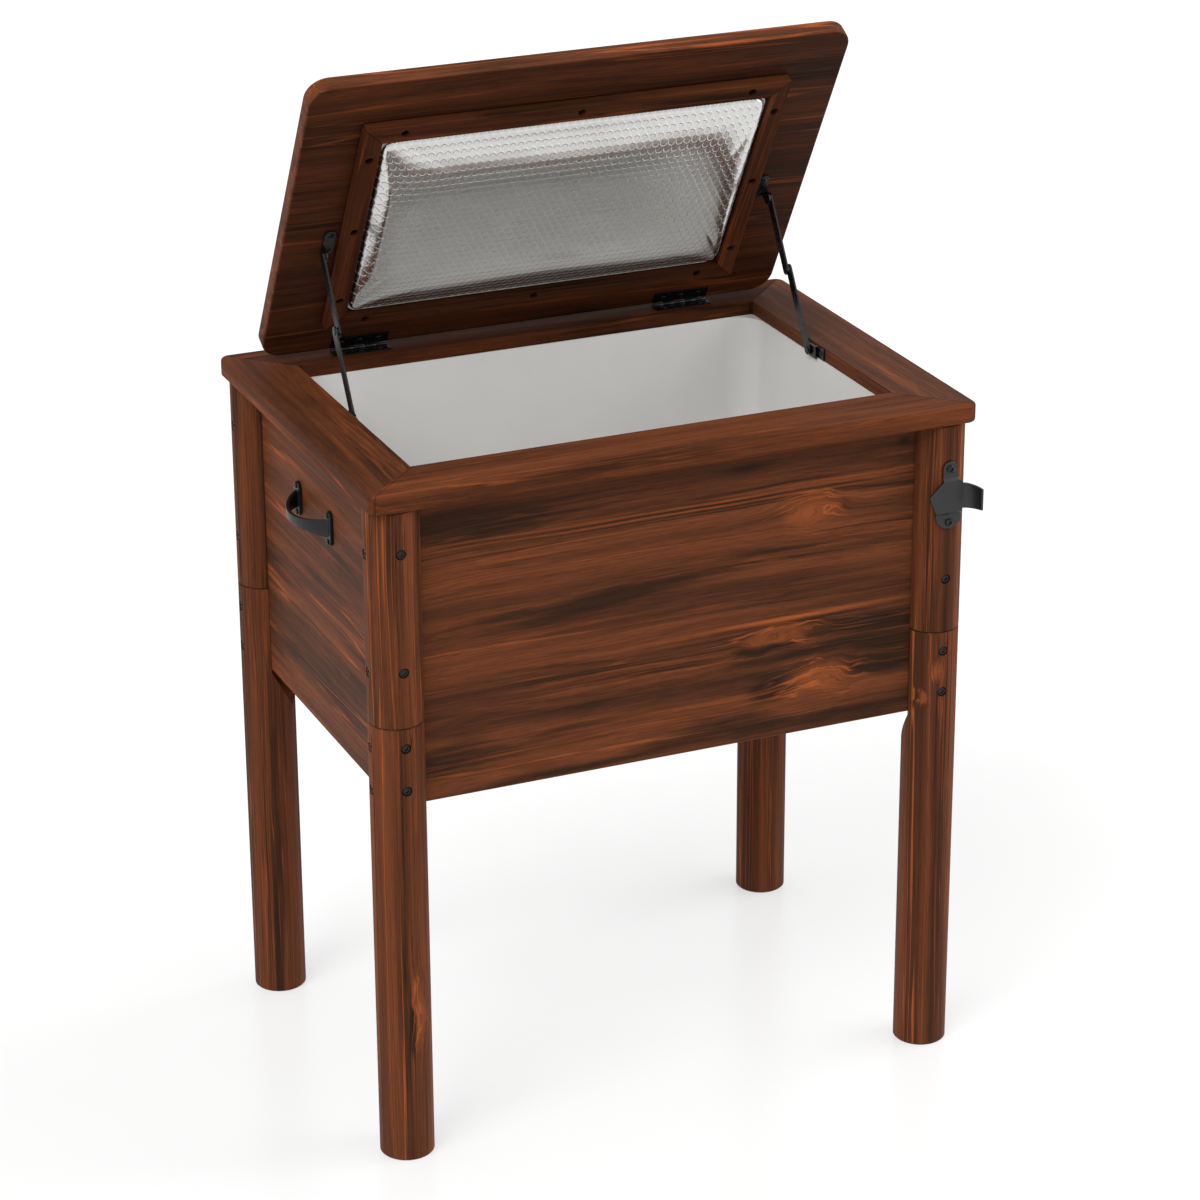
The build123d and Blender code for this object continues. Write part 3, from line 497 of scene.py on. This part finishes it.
def soften(node, width):
    """Rounds the hard edges of a CAD node as it is shown."""
    weld = nodes[node].modifiers.new("weld", "WELD")
    weld.merge_threshold = WELD_REACH
    bevel = nodes[node].modifiers.new("bevel", "BEVEL")
    bevel.width = width
    bevel.segments = EDGE_SEGMENTS
    bevel.limit_method = "ANGLE"
    bevel.angle_limit = SHARP_ANGLE
    bevel.harden_normals = True


def add_piece(name, mesh, replaced, material):
    """A new object that stands for a CAD node and wears a material."""
    piece = bpy.data.objects.new(name, mesh)
    bpy.context.scene.collection.objects.link(piece)
    mesh.materials.clear()
    mesh.materials.append(material)
    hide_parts(replaced)
    return piece


# Wood: where each board, post and leg was cut from, with its knots, stains and lines
FRONT_KNOTS = (
    Mark(0.160, 0.676, 0.040, 0.024, 0.35),
    Mark(0.125, 0.536, 0.050, 0.016, 0.9),
    Mark(0.175, 0.476, 0.050, 0.024, 0.45),
)
FRONT_STAINS = (
    Mark(-0.220, 0.708, 0.150, 0.030, 0.20),
    Mark(-0.080, 0.600, 0.120, 0.020, 0.06),
    Mark(0.235, 0.522, 0.085, 0.018, 0.11),
    Mark(0.250, 0.473, 0.045, 0.010, 0.13),
    Mark(0.080, 0.445, 0.080, 0.014, 0.12),
    Mark(0.122, 0.470, 0.030, 0.012, 0.24),
    Mark(-0.250, 0.470, 0.050, 0.022, 0.10),
)
FRONT_LINES = (
    Line(0.060, 0.7420, 0.300, 0.0200, 0.00, WOOD_BROWN),
    Line(0.085, 0.7360, 0.030, 0.0050, 0.02, WOOD_BLACK),
    Line(0.200, 0.7075, 0.140, 0.0022, 0.00, WOOD_FLAME),
    Line(0.000, 0.7035, 0.300, 0.0014, 0.00, WOOD_FLAME),
    Line(0.050, 0.7005, 0.260, 0.0011, 0.00, WOOD_BLACK),
    Line(0.000, 0.6980, 0.280, 0.0011, 0.00, WOOD_FLAME),
    Line(0.020, 0.6950, 0.260, 0.0010, 0.00, WOOD_BLACK),
    Line(0.080, 0.6920, 0.200, 0.0010, 0.00, WOOD_BLACK),
    Line(0.150, 0.5550, 0.130, 0.0026, 0.01, WOOD_ORANGE),
    Line(0.180, 0.5500, 0.110, 0.0020, 0.01, WOOD_BLACK),
    Line(-0.200, 0.6860, 0.090, 0.0011, 0.03, WOOD_BLACK),
    Line(0.274, 0.7380, 0.009, 0.0055, 0.00, WOOD_BLACK),
)
BOARD_KNOT = Mark(-0.12, 0.61, 0.05, 0.018, 0.8)
END_KNOT = Mark(0.06, 0.52, 0.04, 0.016, 0.7)
LID_KNOT = Mark(0.11, 0.70, 0.06, 0.02, 0.5)
LEG_KNOT_LOW = Mark(0.175, -0.310, 0.045, 0.011, 0.9)
LEG_KNOTS_HIGH = (Mark(0.470, 0.311, 0.016, 0.007, 0.2), Mark(0.438, 0.297, 0.009, 0.006, 0.6))

# The lid's underside is in shade, and the joints of the rim and the lid's frame show as thin lines
UNDER_LEVEL = 0.0024
UNDER_TONE = 0.50
LID_UNDER = Under(LID_OUT, LID_OUT.dot(LID_HINGE) + UNDER_LEVEL, UNDER_TONE)
RIM_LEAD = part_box("rim_front")[1][0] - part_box("rim_back")[1][1]
RIM_MITRE = Mitre(X, 0.0, Y, 0.0, RIM_LEAD)
FRAME_MIDDLE = 0.2005
FRAME_LEAD = 0.0945
FRAME_MITRE = Mitre(X, 0.0, LID_SLOPE, LID_SLOPE.dot(LID_HINGE) + FRAME_MIDDLE, FRAME_LEAD)
DULL_GLOSS = 0.02
RIM_LOOK = {"mitre": RIM_MITRE, "gloss": DULL_GLOSS}
FRAME_LOOK = {"mitre": FRAME_MITRE, "gloss": DULL_GLOSS}
UPRIGHT_BANDS = 0.9
CALM_BANDS = 0.45
UPRIGHT_STRETCH = 2.0
UPRIGHT_FINE = 0.6
UPRIGHT_FIGURE = 1.8


def upright(tone, *knots, bands=UPRIGHT_BANDS):
    """A post or leg, with long straight grain and lively lines."""
    look = {"stretch": UPRIGHT_STRETCH, "fine": UPRIGHT_FINE, "figure": UPRIGHT_FIGURE}
    return Cut(Z, X, tone=tone, bands=bands, knots=knots, **look)


WOOD_CUTS = {
    "front_panel": Cut(X, Z, bands=0.85, knots=FRONT_KNOTS, stains=FRONT_STAINS, lines=FRONT_LINES),
    "back_panel": Cut(X, Z, knots=(BOARD_KNOT,)),
    "left_panel": Cut(Y, Z, tone=1.1, figure=1.5),
    "right_panel": Cut(Y, Z, knots=(END_KNOT,)),
    "floor_panel": Cut(X, Y),
    "rim_front": Cut(X, Y, bands=0.6, **RIM_LOOK),
    # rim_back's low tone is painted shade on the rim's inner back face
    "rim_back": Cut(X, Y, tone=0.60, **RIM_LOOK),
    "rim_left": Cut(Y, X, tone=1.15, bands=0.7, **RIM_LOOK),
    "rim_right": Cut(Y, X, tone=1.1, bands=0.7, mitre=RIM_MITRE),
    "lid_board": Cut(X, LID_SLOPE, tone=1.05, knots=(LID_KNOT,), under=LID_UNDER, figure=1.6),
    # The lid frame's low tones are painted shade under the open lid, set strip by strip
    "lid_frame_front": Cut(X, LID_SLOPE, tone=0.76, **FRAME_LOOK),
    "lid_frame_back": Cut(X, LID_SLOPE, tone=0.62, **FRAME_LOOK),
    "lid_frame_left": Cut(LID_SLOPE, X, tone=0.62, **FRAME_LOOK),
    "lid_frame_right": Cut(LID_SLOPE, X, tone=0.72, **FRAME_LOOK),
    "corner_post_front_left": upright(1.08),
    "corner_post_front_right": upright(0.98),
    "corner_post_back_left": upright(1.0),
    "corner_post_back_right": upright(1.0),
    "leg_front_left": upright(1.08, LEG_KNOT_LOW),
    "leg_front_right": upright(1.09, *LEG_KNOTS_HIGH, bands=CALM_BANDS),
    "leg_back_left": upright(1.0),
    "leg_back_right": upright(1.0),
}
SEED_STEP = 1.7
BOARD_EDGE = 0.0006
RIM_EDGE = 0.0010
for number, (node, cut) in enumerate(WOOD_CUTS.items()):
    dress(node, wood("wood_" + node, cut, number * SEED_STEP))
    soften(node, RIM_EDGE if node.startswith("rim") else BOARD_EDGE)

# Metal, plastic and foam
BLACK_PAINT = painted_metal("black_paint", colour(8, 8, 9), rough=0.27, grit=0.00004, gloss=0.45)
CAST_PAINT = painted_metal("cast_paint", colour(21, 21, 22), rough=0.38, grit=0.00025, gloss=0.30)
GREY_PAINT = painted_metal("grey_paint", colour(26, 27, 28), rough=0.36, grit=0.00006, gloss=0.46)
SCREW_BLACK = painted_metal("screw_black", colour(9, 9, 10), rough=0.30, grit=0.00004, gloss=0.34)
LINER_WHITE = moulded_plastic("liner_white", colour(212, 211, 209), rough=0.34, gloss=0.4)
DRAIN_GREY = moulded_plastic("drain_grey", colour(120, 120, 119), rough=0.42, gloss=0.4)
PLUG_BLACK = moulded_plastic("plug_black", colour(38, 38, 38), rough=0.6, gloss=0.3)
FOAM = bead_foam("foam_beads")
FOIL = silver_foil("foil_silver")

HINGE_KINDS = ("hinge_leaf_box", "hinge_leaf_lid")
STAY_KINDS = ("stay_bracket_box", "stay_bracket_lid", "stay_upper", "stay_lower")
NODE_FINISHES = {
    "liner": LINER_WHITE,
    "drain_spout": DRAIN_GREY,
    "drain_nut": DRAIN_GREY,
    "drain_plug": PLUG_BLACK,
    "bottle_opener": GREY_PAINT,
    "hinge_pins": SCREW_BLACK,
    "lid_foam": FOAM,
}
for side in ("left", "right"):
    NODE_FINISHES["handle_" + side] = CAST_PAINT
    for kind in HINGE_KINDS + STAY_KINDS:
        NODE_FINISHES[f"{kind}_{side}"] = BLACK_PAINT
for side in ("front", "back", "left", "right", "floor"):
    NODE_FINISHES["insulation_" + side] = FOAM
for node, material in NODE_FINISHES.items():
    dress(node, material)

# Metal edges are broken a little; the cast handles are rounder
HANDLE_EDGE = 0.0013
HINGE_EDGE = 0.0003
STAY_EDGE = 0.0004
OPENER_EDGE = 0.0005
for side in ("left", "right"):
    soften("handle_" + side, HANDLE_EDGE)
    for kind in HINGE_KINDS:
        soften(f"{kind}_{side}", HINGE_EDGE)
    for kind in STAY_KINDS:
        soften(f"{kind}_{side}", STAY_EDGE)
soften("bottle_opener", OPENER_EDGE)


# Screws with rounded heads and driver recesses, on the places of the CAD screws
def islands(node):
    """The points of each separate solid of a CAD node, sorted so that every run has the same order."""
    work = bmesh.new()
    work.from_mesh(nodes[node].data)
    bmesh.ops.remove_doubles(work, verts=work.verts, dist=WELD_REACH)
    waiting = set(work.verts)
    found = []
    while waiting:
        group = [waiting.pop()]
        for vert in group:
            for edge in vert.link_edges:
                other = edge.other_vert(vert)
                if other in waiting:
                    waiting.discard(other)
                    group.append(other)
        found.append(sorted(tuple(vert.co) for vert in group))
    work.free()
    return [np.array(points) for points in sorted(found)]


def screw_pose(points):
    """Where a screw's tip is, which way its head points, its length and its head's radius."""
    low = points.min(axis=0)
    high = points.max(axis=0)
    centre = (low + high) / 2
    axis = np.linalg.svd(points - points.mean(axis=0), full_matrices=False)[2][0]
    height = (points - centre) @ axis
    radius = np.linalg.norm(points - centre - np.outer(height, axis), axis=1)
    if height[radius.argmax()] < 0:
        axis = -axis
        height = -height
    length = height.max() - height.min()
    tip = centre + axis * height.min()
    return Vector(tip), Vector(axis), length, radius.max()


def hexagon(angle):
    """Radius of a hexagonal socket at an angle, with corners at 1."""
    sector = math.pi / 3
    return math.cos(sector / 2) / math.cos(angle % sector - sector / 2)


CROSS_ARM = 0.28


def cross_slot(angle):
    """Radius of a cross recess at an angle, with arms that reach 1."""
    turn = abs((angle + math.pi / 4) % (math.pi / 2) - math.pi / 4)
    if math.tan(turn) <= CROSS_ARM:
        return 1 / math.cos(turn)
    return CROSS_ARM / math.sin(turn)


def disc(angle):
    """Radius of a round outline, the same at every angle."""
    return 1.0


RING_POINTS = 32
SHANK_SHARE = 0.36
HEAD_SHARE = 0.52
TIP_SHARE = 0.2

# Profiles of a screw's head and recess: shares of its radius, and of its height below the top
HEAD_PROFILE = ((0.97, 1.0), (1.0, 0.90), (1.0, 0.45), (0.93, 0.20), (0.80, 0.05), (0.66, 0.0))
RECESS_PROFILE = ((0.60, 0.0), (0.57, 0.06), (0.54, 0.70))
RECESS_BOTTOM = ((0.12, 0.76),)


def add_screw(work, points, recess, sink):
    """Lathes one screw, from its tip to the bottom of its driver recess, with its head sunk a little."""
    tip, axis, length, head_r = screw_pose(points)
    length -= sink
    side = axis.orthogonal().normalized()
    other = axis.cross(side)
    head_h = HEAD_SHARE * head_r
    shank_r = SHANK_SHARE * head_r
    rings = [
        (TIP_SHARE * shank_r, 0.0, disc),
        (shank_r, shank_r, disc),
        (shank_r, length - head_h, disc),
    ]
    for profile, outline in ((HEAD_PROFILE, disc), (RECESS_PROFILE, recess), (RECESS_BOTTOM, disc)):
        for width, depth in profile:
            rings.append((width * head_r, length - depth * head_h, outline))
    loops = []
    for radius, height, outline in rings:
        loop = []
        for step in range(RING_POINTS):
            angle = math.tau * step / RING_POINTS
            reach = radius * outline(angle)
            spot = tip + axis * height + (side * math.cos(angle) + other * math.sin(angle)) * reach
            loop.append(work.verts.new(spot))
        loops.append(loop)
    for lower, upper in zip(loops, loops[1:]):
        for step in range(RING_POINTS):
            after = (step + 1) % RING_POINTS
            work.faces.new((lower[step], lower[after], upper[after], upper[step]))
    work.faces.new(list(reversed(loops[0])))
    work.faces.new(loops[-1])


SUNK = 0.0010
SCREW_KINDS = {
    "post_screws": ("cabinet", hexagon, SUNK),
    "leg_screws": ("cabinet", hexagon, SUNK),
    "handle_screws": ("cabinet", cross_slot, 0.0),
    "opener_screws": ("cabinet", hexagon, 0.0),
    "hinge_screws_box": ("cabinet", cross_slot, 0.0),
    "stay_screws_box": ("cabinet", cross_slot, 0.0),
    "hinge_screws_lid": ("lid", cross_slot, 0.0),
    "stay_screws_lid": ("lid", cross_slot, 0.0),
    "lid_frame_screws": ("lid", cross_slot, SUNK),
}
for node, (body, recess, sink) in SCREW_KINDS.items():
    work = bmesh.new()
    for points in islands(node):
        add_screw(work, points, recess, sink)
    mesh = bpy.data.meshes.new("shown_" + node)
    work.to_mesh(mesh)
    work.free()
    mesh.shade_smooth()
    mesh.set_sharp_from_angle(angle=SHARP_ANGLE)
    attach(add_piece("shown_" + node, mesh, node, SCREW_BLACK), body)

# Padded foil in the lid: a crowned form in rings, blown up as cloth and given its bubbles
PAD_CORNER_R = 0.014
PAD_CLEAR = 0.0015
PAD_EDGE = 0.004
PAD_EDGE_RINGS = (0.0, 0.06, 0.2, 0.45, 0.75)
PAD_EDGE_RISE = 0.0050
# Slope of the pad's flanks, the width that has it, and the width over which it eases off
PAD_SIDES = (math.radians(14.0), 0.036, 0.050)
PAD_ENDS = (math.radians(50.0), 0.010, 0.006)
PAD_BLEND = 0.005
PAD_CORNER_GROWTH = 0.5
PAD_CORNER_LIMIT = 0.98
PAD_RING_STEP = 0.005
PAD_BACK_RINGS = 6
PAD_CORNER_POINTS = 6
PAD_HELD = 0.2 * PAD_EDGE
PAD_PRESSURE = 4.0
PAD_FRAMES = 20
PAD_RISE = 0.0030
PAD_SMOOTHING = 12
PAD_DIVISIONS = 2
BUBBLE_H = 0.00003
BUBBLE_MARGIN = 0.006


def read_points(mesh):
    """The places of a mesh's points, one row each."""
    points = np.empty(len(mesh.vertices) * 3)
    mesh.vertices.foreach_get("co", points)
    return points.reshape(-1, 3)


def write_points(mesh, points):
    """Moves a new mesh's points to the given places."""
    mesh.vertices.foreach_set("co", points.ravel())
    mesh.update()


def shown_mesh(piece):
    """A copy of a piece's mesh with its modifiers applied."""
    graph = bpy.context.evaluated_depsgraph_get()
    return bpy.data.meshes.new_from_object(piece.evaluated_get(graph))


def bake(piece):
    """Replaces a piece's mesh by what its modifiers make of it."""
    mesh = shown_mesh(piece)
    piece.modifiers.clear()
    piece.data = mesh


def smoothed(mesh, values, rounds):
    """Values at the points of a mesh, averaged with those of their neighbours."""
    ends = np.empty(len(mesh.edges) * 2, dtype=np.int32)
    mesh.edges.foreach_get("vertices", ends)
    first, second = ends.reshape(-1, 2).T
    count = np.bincount(ends, minlength=len(values))[:, None]
    for _ in range(rounds):
        total = np.zeros_like(values)
        np.add.at(total, first, values[second])
        np.add.at(total, second, values[first])
        values = (values + total / count) / 2
    return values


def blow_up(piece, held, pressure, frames, rise):
    """Runs cloth with inner pressure on a closed piece.

    Held points stay, and none moves further than rise.
    """
    rest = read_points(piece.data)
    group = piece.vertex_groups.new(name="held")
    group.add([int(i) for i in np.flatnonzero(held)], 1.0, "REPLACE")
    cloth = piece.modifiers.new("cloth", "CLOTH")
    cloth.settings.vertex_group_mass = "held"
    cloth.settings.use_pressure = True
    cloth.settings.uniform_pressure_force = pressure
    cloth.settings.effector_weights.gravity = 0.0
    for number in range(1, frames + 1):
        bpy.context.scene.frame_set(number)
    moved = read_points(shown_mesh(piece)) - rest
    bpy.context.scene.frame_set(1)
    piece.modifiers.clear()
    moved = smoothed(piece.data, moved, PAD_SMOOTHING)
    moved[held] = 0.0
    far = np.linalg.norm(moved, axis=1)
    share = np.where(far > 0, rise * np.tanh(far / rise) / np.maximum(far, 1e-9), 0.0)
    write_points(piece.data, rest + moved * share[:, None])


def bubble_height(x, v):
    """Depth of the bubble film's staggered dimples at a point of the pad."""
    row_step = BUBBLE_PITCH * math.sqrt(3) / 2
    height = np.zeros_like(x)
    for row in (np.floor(v / row_step), np.floor(v / row_step) + 1):
        shift = (row % 2) * BUBBLE_PITCH / 2
        column = np.round((x - shift) / BUBBLE_PITCH)
        away = np.hypot(x - column * BUBBLE_PITCH - shift, v - row * row_step)
        dome = BUBBLE_H * (1 + np.cos(math.pi * np.minimum(away / BUBBLE_R, 1.0))) / 2
        height = np.maximum(height, dome)
    return height


def rounded_loop(half_x, half_v, radius, counts):
    """Points round a rectangle with rounded corners, the same number on each side for every size."""
    radius = min(radius, PAD_CORNER_LIMIT * half_x, PAD_CORNER_LIMIT * half_v)
    straight_x = half_x - radius
    straight_v = half_v - radius
    on_x, on_v, on_corner = counts
    points = []
    corners = ((1, 1, on_v), (-1, 1, on_x), (-1, -1, on_v), (1, -1, on_x))
    for quarter, (side_x, side_v, on_side) in enumerate(corners):
        centre = np.array((side_x * straight_x, side_v * straight_v))
        turn = quarter * math.pi / 2
        outward = radius * np.array((math.cos(turn), math.sin(turn)))
        first = centre + outward
        before = corners[quarter - 1]
        start = np.array((before[0] * straight_x, before[1] * straight_v)) + outward
        points += [start + (first - start) * step / on_side for step in range(on_side)]
        for step in range(on_corner):
            angle = turn + math.pi / 2 * step / on_corner
            points.append(centre + radius * np.array((math.cos(angle), math.sin(angle))))
    return points


def eased_rise(inset, slope, flank, ease):
    """Rise of a flank that keeps its slope over a width and then eases off to level."""
    beyond = np.clip(inset - flank, 0.0, ease)
    return math.tan(slope) * (np.minimum(inset, flank) + beyond - beyond**2 / (2 * ease))


def rounded_least(first, second, blend):
    """The lesser of two heights, rounded where they meet."""
    near = np.maximum(blend - np.abs(first - second), 0.0) / blend
    return np.minimum(first, second) - blend / 4 * near**2


def pad_rise(x, v, half):
    """Rise of the pad at points from its middle: a round edge, steep ends and longer, flatter sides."""
    from_end = half.x - np.abs(x)
    from_side = half.y - np.abs(v)
    crown = rounded_least(eased_rise(from_end, *PAD_ENDS), eased_rise(from_side, *PAD_SIDES), PAD_BLEND)
    beyond_x = np.maximum(PAD_CORNER_R - from_end, 0.0)
    beyond_v = np.maximum(PAD_CORNER_R - from_side, 0.0)
    straight = np.maximum(np.minimum(from_end, from_side) - PAD_CORNER_R, 0.0)
    inset = PAD_CORNER_R - np.hypot(beyond_x, beyond_v) + straight
    short = 1 - np.clip(inset / PAD_EDGE, 0.0, 1.0)
    return np.sqrt(1 - short**2) * (PAD_EDGE_RISE + crown)


def pad_mesh(low, high):
    """The pad as rings in the lid's frame, from the middle of its back to the middle of its face."""
    middle = (low + high) / 2
    half = (high - low) / 2 - Vector((PAD_CLEAR, PAD_CLEAR, 0.0))
    reach = half.y - PAD_RING_STEP / 2
    edge = [PAD_EDGE * share for share in PAD_EDGE_RINGS]
    slope = list(np.linspace(PAD_EDGE, reach, round((reach - PAD_EDGE) / PAD_RING_STEP)))
    back = list(np.linspace(reach, PAD_EDGE, PAD_BACK_RINGS))
    rings = [(inset, False) for inset in back] + [(inset, True) for inset in edge + slope]
    counts = (round(2 * half.x / PAD_RING_STEP), round(2 * half.y / PAD_RING_STEP), PAD_CORNER_POINTS)
    work = bmesh.new()
    loops = []
    for inset, is_face in rings:
        radius = PAD_CORNER_R + PAD_CORNER_GROWTH * inset
        outline = np.array(rounded_loop(half.x - inset, half.y - inset, radius, counts))
        rise = pad_rise(outline[:, 0], outline[:, 1], half) * is_face
        spots = np.column_stack((outline + np.array(middle[:2]), high.z - rise))
        loops.append([work.verts.new(spot) for spot in spots])
    for lower, upper in zip(loops, loops[1:]):
        for step in range(len(lower)):
            after = (step + 1) % len(lower)
            work.faces.new((lower[step], lower[after], upper[after], upper[step]))
    caps = [work.faces.new(loops[0]), work.faces.new(loops[-1])]
    bmesh.ops.triangulate(work, faces=caps)
    bmesh.ops.recalc_face_normals(work, faces=work.faces)
    mesh = bpy.data.meshes.new("foil_pad")
    work.to_mesh(mesh)
    work.free()
    return mesh


def foil_pad():
    """The foil cover inside the lid's frame, made in the lid's own frame."""
    inverse = LID_FRAME.inverted()
    corners = np.array([inverse @ vertex.co for vertex in nodes["lid_foil_pad"].data.vertices])
    low = Vector(corners.min(axis=0))
    high = Vector(corners.max(axis=0))
    piece = add_piece("foil_pad", pad_mesh(low, high), "lid_foil_pad", FOIL)
    points = read_points(piece.data)
    held = points[:, 2] > high.z - PAD_HELD
    blow_up(piece, held, PAD_PRESSURE, PAD_FRAMES, PAD_RISE)
    divide = piece.modifiers.new("divide", "SUBSURF")
    divide.levels = PAD_DIVISIONS
    divide.render_levels = PAD_DIVISIONS
    bake(piece)

    points = read_points(piece.data)
    middle = np.array((low + high) / 2)
    half = np.array((high - low) / 2)
    limit = half[:2] - 0.5 * PAD_CLEAR
    points[:, :2] = middle[:2] + np.clip(points[:, :2] - middle[:2], -limit, limit)
    inside = half[:2] - np.abs(points[:, :2] - middle[:2])
    margin = np.clip(inside.min(axis=1) / BUBBLE_MARGIN - 0.5, 0.0, 1.0)
    face = points[:, 2] < high.z - PAD_EDGE / 2
    points[:, 2] += bubble_height(points[:, 0], points[:, 1]) * margin * face
    points[:, 2] = np.minimum(points[:, 2], high.z)
    write_points(piece.data, points)
    piece.data.shade_smooth()
    piece.matrix_world = LID_FRAME
    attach(piece, "lid")


foil_pad()

# Studio: pale floor, white surroundings and large soft lights
FLOOR_REACH = 30.0
FLOOR_CELLS = 8
SENSOR_WIDTH = 36.0
CAMERA_REACH = 100.0


def floor():
    """A wide level floor under the part."""
    work = bmesh.new()
    bmesh.ops.create_grid(work, x_segments=FLOOR_CELLS, y_segments=FLOOR_CELLS, size=FLOOR_REACH)
    mesh = bpy.data.meshes.new("floor")
    work.to_mesh(mesh)
    work.free()
    mesh.materials.append(pale_floor("floor_pale"))
    piece = bpy.data.objects.new("floor", mesh)
    bpy.context.scene.collection.objects.link(piece)


def soft_light(name, place, target, size, watts):
    """A square light at a place, turned to a target."""
    lamp = bpy.data.lights.new(name, "AREA")
    lamp.shape = "SQUARE"
    lamp.size = size
    lamp.energy = watts
    holder = bpy.data.objects.new(name, lamp)
    holder.location = place
    holder.rotation_euler = (Vector(target) - Vector(place)).to_track_quat("-Z", "Y").to_euler()
    bpy.context.scene.collection.objects.link(holder)


def soft_sun(name, direction, spread, strength):
    """Light from a direction over a wide angle in degrees, the same all over the floor."""
    lamp = bpy.data.lights.new(name, "SUN")
    lamp.angle = math.radians(spread)
    lamp.energy = strength
    holder = bpy.data.objects.new(name, lamp)
    holder.rotation_euler = Vector(direction).to_track_quat("Z", "Y").to_euler()
    bpy.context.scene.collection.objects.link(holder)


def surroundings(strength):
    """Even white light from all sides."""
    world = bpy.data.worlds.new("studio")
    world.use_nodes = True
    back = world.node_tree.nodes["Background"]
    back.inputs["Color"].default_value = (1.0, 1.0, 1.0, 1.0)
    back.inputs["Strength"].default_value = strength
    bpy.context.scene.world = world


def camera():
    """The camera at its fitted place and angles."""
    eye = bpy.data.cameras.new("camera")
    eye.lens = CAMERA_LENS
    eye.sensor_width = SENSOR_WIDTH
    eye.clip_end = CAMERA_REACH
    holder = bpy.data.objects.new("camera", eye)
    turn = Matrix.Rotation(math.radians(CAMERA_AZIMUTH), 4, "Z")
    tilt = Matrix.Rotation(math.radians(90 - CAMERA_ELEVATION), 4, "X")
    roll = Matrix.Rotation(math.radians(CAMERA_ROLL), 4, "Z")
    holder.matrix_world = Matrix.Translation(CAMERA_PLACE) @ turn @ tilt @ roll
    bpy.context.scene.collection.objects.link(holder)
    bpy.context.scene.camera = holder


MIDDLE = (0.0, 0.0, 0.6)
SUN_SPREAD = 34.0
floor()
surroundings(strength=0.82)
soft_sun("key", direction=(-0.80, -0.50, 1.0), spread=SUN_SPREAD, strength=1.7)
soft_sun("side", direction=(1.0, -0.10, 0.9), spread=SUN_SPREAD, strength=0.9)
soft_light("fill", place=(3.4, -2.4, 2.2), target=MIDDLE, size=2.4, watts=36.0)
camera()
view = bpy.context.scene.view_settings
view.view_transform = "Standard"
view.look = "None"
view.exposure = 0.0
